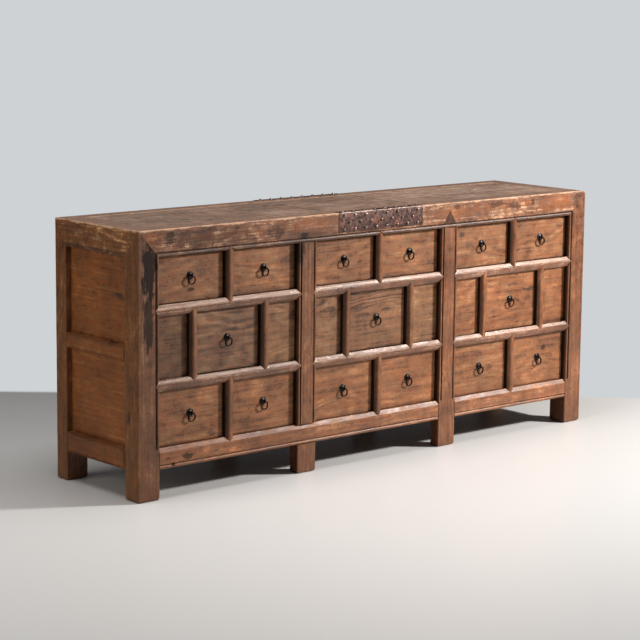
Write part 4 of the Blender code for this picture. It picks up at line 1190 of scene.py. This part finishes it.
# %% Rose, eye and ring
def torus(centre, plane, radius, wire, around, across):
    """Spin a small circle about an axis: a ring of round wire."""
    mesh = bmesh.new()
    axis = Vector(plane)
    side = Vector((1, 0, 0)) if abs(axis.x) < 0.5 else Vector((0, 0, 1))
    rest = axis.cross(side)
    tilt = Matrix((side, rest, axis)).transposed().to_4x4() @ Matrix.Rotation(math.pi / 2, 4, "X")
    bmesh.ops.create_circle(mesh, cap_ends=False, segments=across, radius=wire,
                            matrix=Matrix.Translation(Vector(centre) + side * radius) @ tilt)
    bmesh.ops.spin(mesh, geom=mesh.verts[:] + mesh.edges[:], cent=centre, axis=axis, angle=math.tau,
                   steps=around, use_merge=True)
    bmesh.ops.remove_doubles(mesh, verts=mesh.verts, dist=1e-6)
    bmesh.ops.recalc_face_normals(mesh, faces=mesh.faces)
    return mesh


def rose(centre, radius, rise):
    """A round plate with a raised rim and a boss in the middle."""
    profile = [(radius, 0.0001), (radius, 0.0009), (radius * 0.93, 0.0017), (radius * 0.86, 0.0016),
               (radius * 0.8, 0.0013), (radius * 0.6, 0.0027),
               (radius * 0.42, rise * 0.8), (radius * 0.28, rise * 0.9),
               (0.0024, rise), (0.0022, rise + 0.0026), (0, rise + 0.0026)]
    points = [(centre.x + r, centre.y - h, centre.z) for r, h in profile]
    return spun(points, centre, (0, 1, 0), 28, 1e-6)


# %% Build the fifteen drawers
ring_wire, ring_thick = 0.0020, 0.0026
rose_radius, rose_rise, eye_radius, eye_wire = 0.0140, 0.0050, 0.0048, 0.0018
inner_y = face_y + 0.018
wall_thick, wall_below_top, bottom_thick = 0.010, 0.012, 0.007
end_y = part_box("drawer_top_1")[1].y
for node in sorted(front_tones):
    low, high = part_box(node)
    tone, warmth = front_tones[node]
    word = node.replace("drawer_", "")
    ring_node = node.replace("drawer", "ring")
    ring_low, ring_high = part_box(ring_node)
    mesh = wear(board((low.x, face_y, low.z), (high.x, inner_y, high.z), 0.0016, 0.02), 0.0012, 60, tone * 9)
    finish = {"middle_1": arched_wood, "middle_2": curly_wood}.get(word, drawer_wood)
    piece(f"front_{word}", mesh, finish, node, [node], "x", "y", tone, warmth)
    side_top = high.z - wall_below_top
    x_in, x_out, rear_y = low.x + wall_thick, high.x - wall_thick, end_y - wall_thick
    for name, x_from, x_to in (("left", low.x, x_in), ("right", x_out, high.x)):
        mesh = board((x_from, inner_y, low.z), (x_to, end_y, side_top), 0.0008, 0.08)
        piece(f"side_{name}_{word}", mesh, inside_wood, node, [node], "y", "x", 1.0, 0.5)
    mesh = board((x_in, rear_y, low.z), (x_out, end_y, side_top), 0.0008, 0.08)
    piece(f"rear_{word}", mesh, inside_wood, node, [node], "x", "y", 0.95, 0.5)
    mesh = board((x_in, inner_y, low.z), (x_out, rear_y, low.z + bottom_thick), 0.0005, 0.08)
    piece(f"bottom_{word}", mesh, inside_wood, node, [node], "y", "z", 0.9, 0.5)
    ring_y = (ring_low.y + ring_high.y) / 2
    x_mid = (ring_low.x + ring_high.x) / 2
    eye_z = ring_high.z - ring_wire
    fitting = rose(Vector((x_mid, face_y, eye_z)), rose_radius, rose_rise)
    glue(fitting, torus((x_mid, ring_y, eye_z), (1, 0, 0), eye_radius, eye_wire, 18, 8))
    piece(f"rose_{word}", fitting, rose_iron, node, [node], "x", "y", sharp=50)
    radius = (ring_high.x - ring_low.x) / 2 - ring_wire
    ring_centre = Vector((x_mid, ring_y, eye_z - radius))
    mesh = torus(ring_centre, (0, 1, 0), radius, ring_thick, 40, 10)
    piece(f"pull_{word}", mesh, ring_iron, ring_node, [ring_node], "x", "y", sharp=60)

# %% Inner housings keep their solids
for node in ("housing_left", "housing_middle", "housing_right"):
    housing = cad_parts[node]
    housing.data.materials.clear()
    housing.data.materials.append(inside_wood)

# %% [markdown]
# ## Floor, light and camera
# The shadows have sharp edges, so the light is small and near: a window at the front
# right, a little above the top. It falls off along the drawers, throws the shadow of
# each ring down to the left, and is mirrored in the upper slope of every cross rail.
# A pale ceiling fills in from above.
# The floor is plain and pale, and fades into the backdrop for the camera alone. For the
# camera it is also painted paler to the left and darker to the right, which stands in
# for light and evens out the key window's fall-off.

# %% Floor and backdrop
pale_backdrop, pale_floor = rgb(206, 210, 213), rgb(226, 221, 214)
floor_mesh = bmesh.new()
bmesh.ops.create_grid(floor_mesh, x_segments=1, y_segments=1, size=30)
floor_data = bpy.data.meshes.new("floor")
floor_mesh.to_mesh(floor_data)
floor_mesh.free()
floor = new_object("floor", floor_data)
floor_paint, tree, shader = start_material("floor paint", pale_floor)
shader.inputs["Roughness"].default_value = 0.35
world_spot = add(tree, "NewGeometry", out=0)
behind = vector_maths(tree, "DOT_PRODUCT", vector_maths(tree, "SUBTRACT", world_spot, (0.567, 0.741, 0)),
                      (0.655, 0.7556, 0), out=1)
rays = tree.nodes.new("ShaderNodeLightPath").outputs["Is Camera Ray"]
# Painted light: for the camera the floor is paler at the left and darker at the right.
seen_floor_painted_light = blend(tree, soft_step(tree, add(tree, "SeparateXYZ", world_spot), -1.2, 1.6),
                   (0.97, 0.955, 0.94, 1), (0.76, 0.74, 0.72, 1))
tree.links.new(blend(tree, rays, (*pale_floor, 1), seen_floor_painted_light), shader.inputs["Base Color"])
share = times(tree, soft_step(tree, behind, -0.02, 0.03), rays)
glow = add(tree, "Emission", (*pale_backdrop, 1))
mixed = add(tree, "MixShader", share, shader.outputs[0], glow)
tree.links.new(mixed, tree.nodes["Material Output"].inputs["Surface"])
floor_data.materials.append(floor_paint)

# %% World
world = bpy.data.worlds.new("studio")
bpy.context.scene.world = world
world.use_nodes = True
tree = world.node_tree
tree.nodes.clear()
out = tree.nodes.new("ShaderNodeOutputWorld")
fill = add(tree, "Background", (0.95, 0.97, 1.0, 1), 0.08)
backdrop = add(tree, "Background", (*pale_backdrop, 1))
path = tree.nodes.new("ShaderNodeLightPath")
seen = maths(tree, "MAXIMUM", path.outputs["Is Camera Ray"], path.outputs["Is Transmission Ray"])
tree.links.new(add(tree, "MixShader", seen, fill, backdrop), out.inputs[0])

# %% Windows
def window(name, place, aim, wide, high, power, colour):
    """A soft area light at a place, turned to what it lights."""
    data = bpy.data.lights.new(name, "AREA")
    data.shape = "RECTANGLE"
    data.size, data.size_y, data.energy, data.color = wide, high, power, colour
    made = new_object(name, data)
    made.location = place
    made.rotation_euler = (Vector(aim) - Vector(place)).to_track_quat("-Z", "Y").to_euler()


window("key window", (2.40, -2.15, 2.00), (0.4, -0.23, 0.5), 0.36, 0.30, 150, (1.0, 0.985, 0.96))
window("ceiling", (-0.9, -0.35, 3.0), (-0.9, -0.35, 0.0), 2.6, 1.2, 38, (1.0, 0.99, 0.98))
window("side window", (-3.6, 0.5, 1.3), (-1.03, 0.0, 0.5), 1.6, 1.4, 15, (1.0, 0.94, 0.84))

# %% Camera
azimuth, pitch, roll = math.radians(40.92), math.radians(9.53), math.radians(0.58)
ahead = Vector((math.sin(azimuth) * math.cos(pitch), math.cos(azimuth) * math.cos(pitch),
                -math.sin(pitch)))
side = Vector((math.cos(azimuth), -math.sin(azimuth), 0))
upwards = side.cross(ahead)
view_right = side * math.cos(roll) + upwards * math.sin(roll)
view_up = upwards * math.cos(roll) - side * math.sin(roll)
camera_data = bpy.data.cameras.new("camera")
camera_data.lens = 123.3
camera_data.sensor_width = 36
camera = new_object("camera", camera_data)
turned = Matrix((view_right, view_up, -ahead)).transposed().to_4x4()
standpoint = (-5.046, -5.735, 1.742)
camera.matrix_world = Matrix.Translation(standpoint) @ turned
bpy.context.scene.camera = camera
bpy.context.scene.view_settings.view_transform = "Standard"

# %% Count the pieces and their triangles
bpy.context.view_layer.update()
for made in made_pieces:
    made.data.calc_loop_triangles()
print("pieces:", len(made_pieces), "triangles:", sum(len(o.data.loop_triangles) for o in made_pieces))
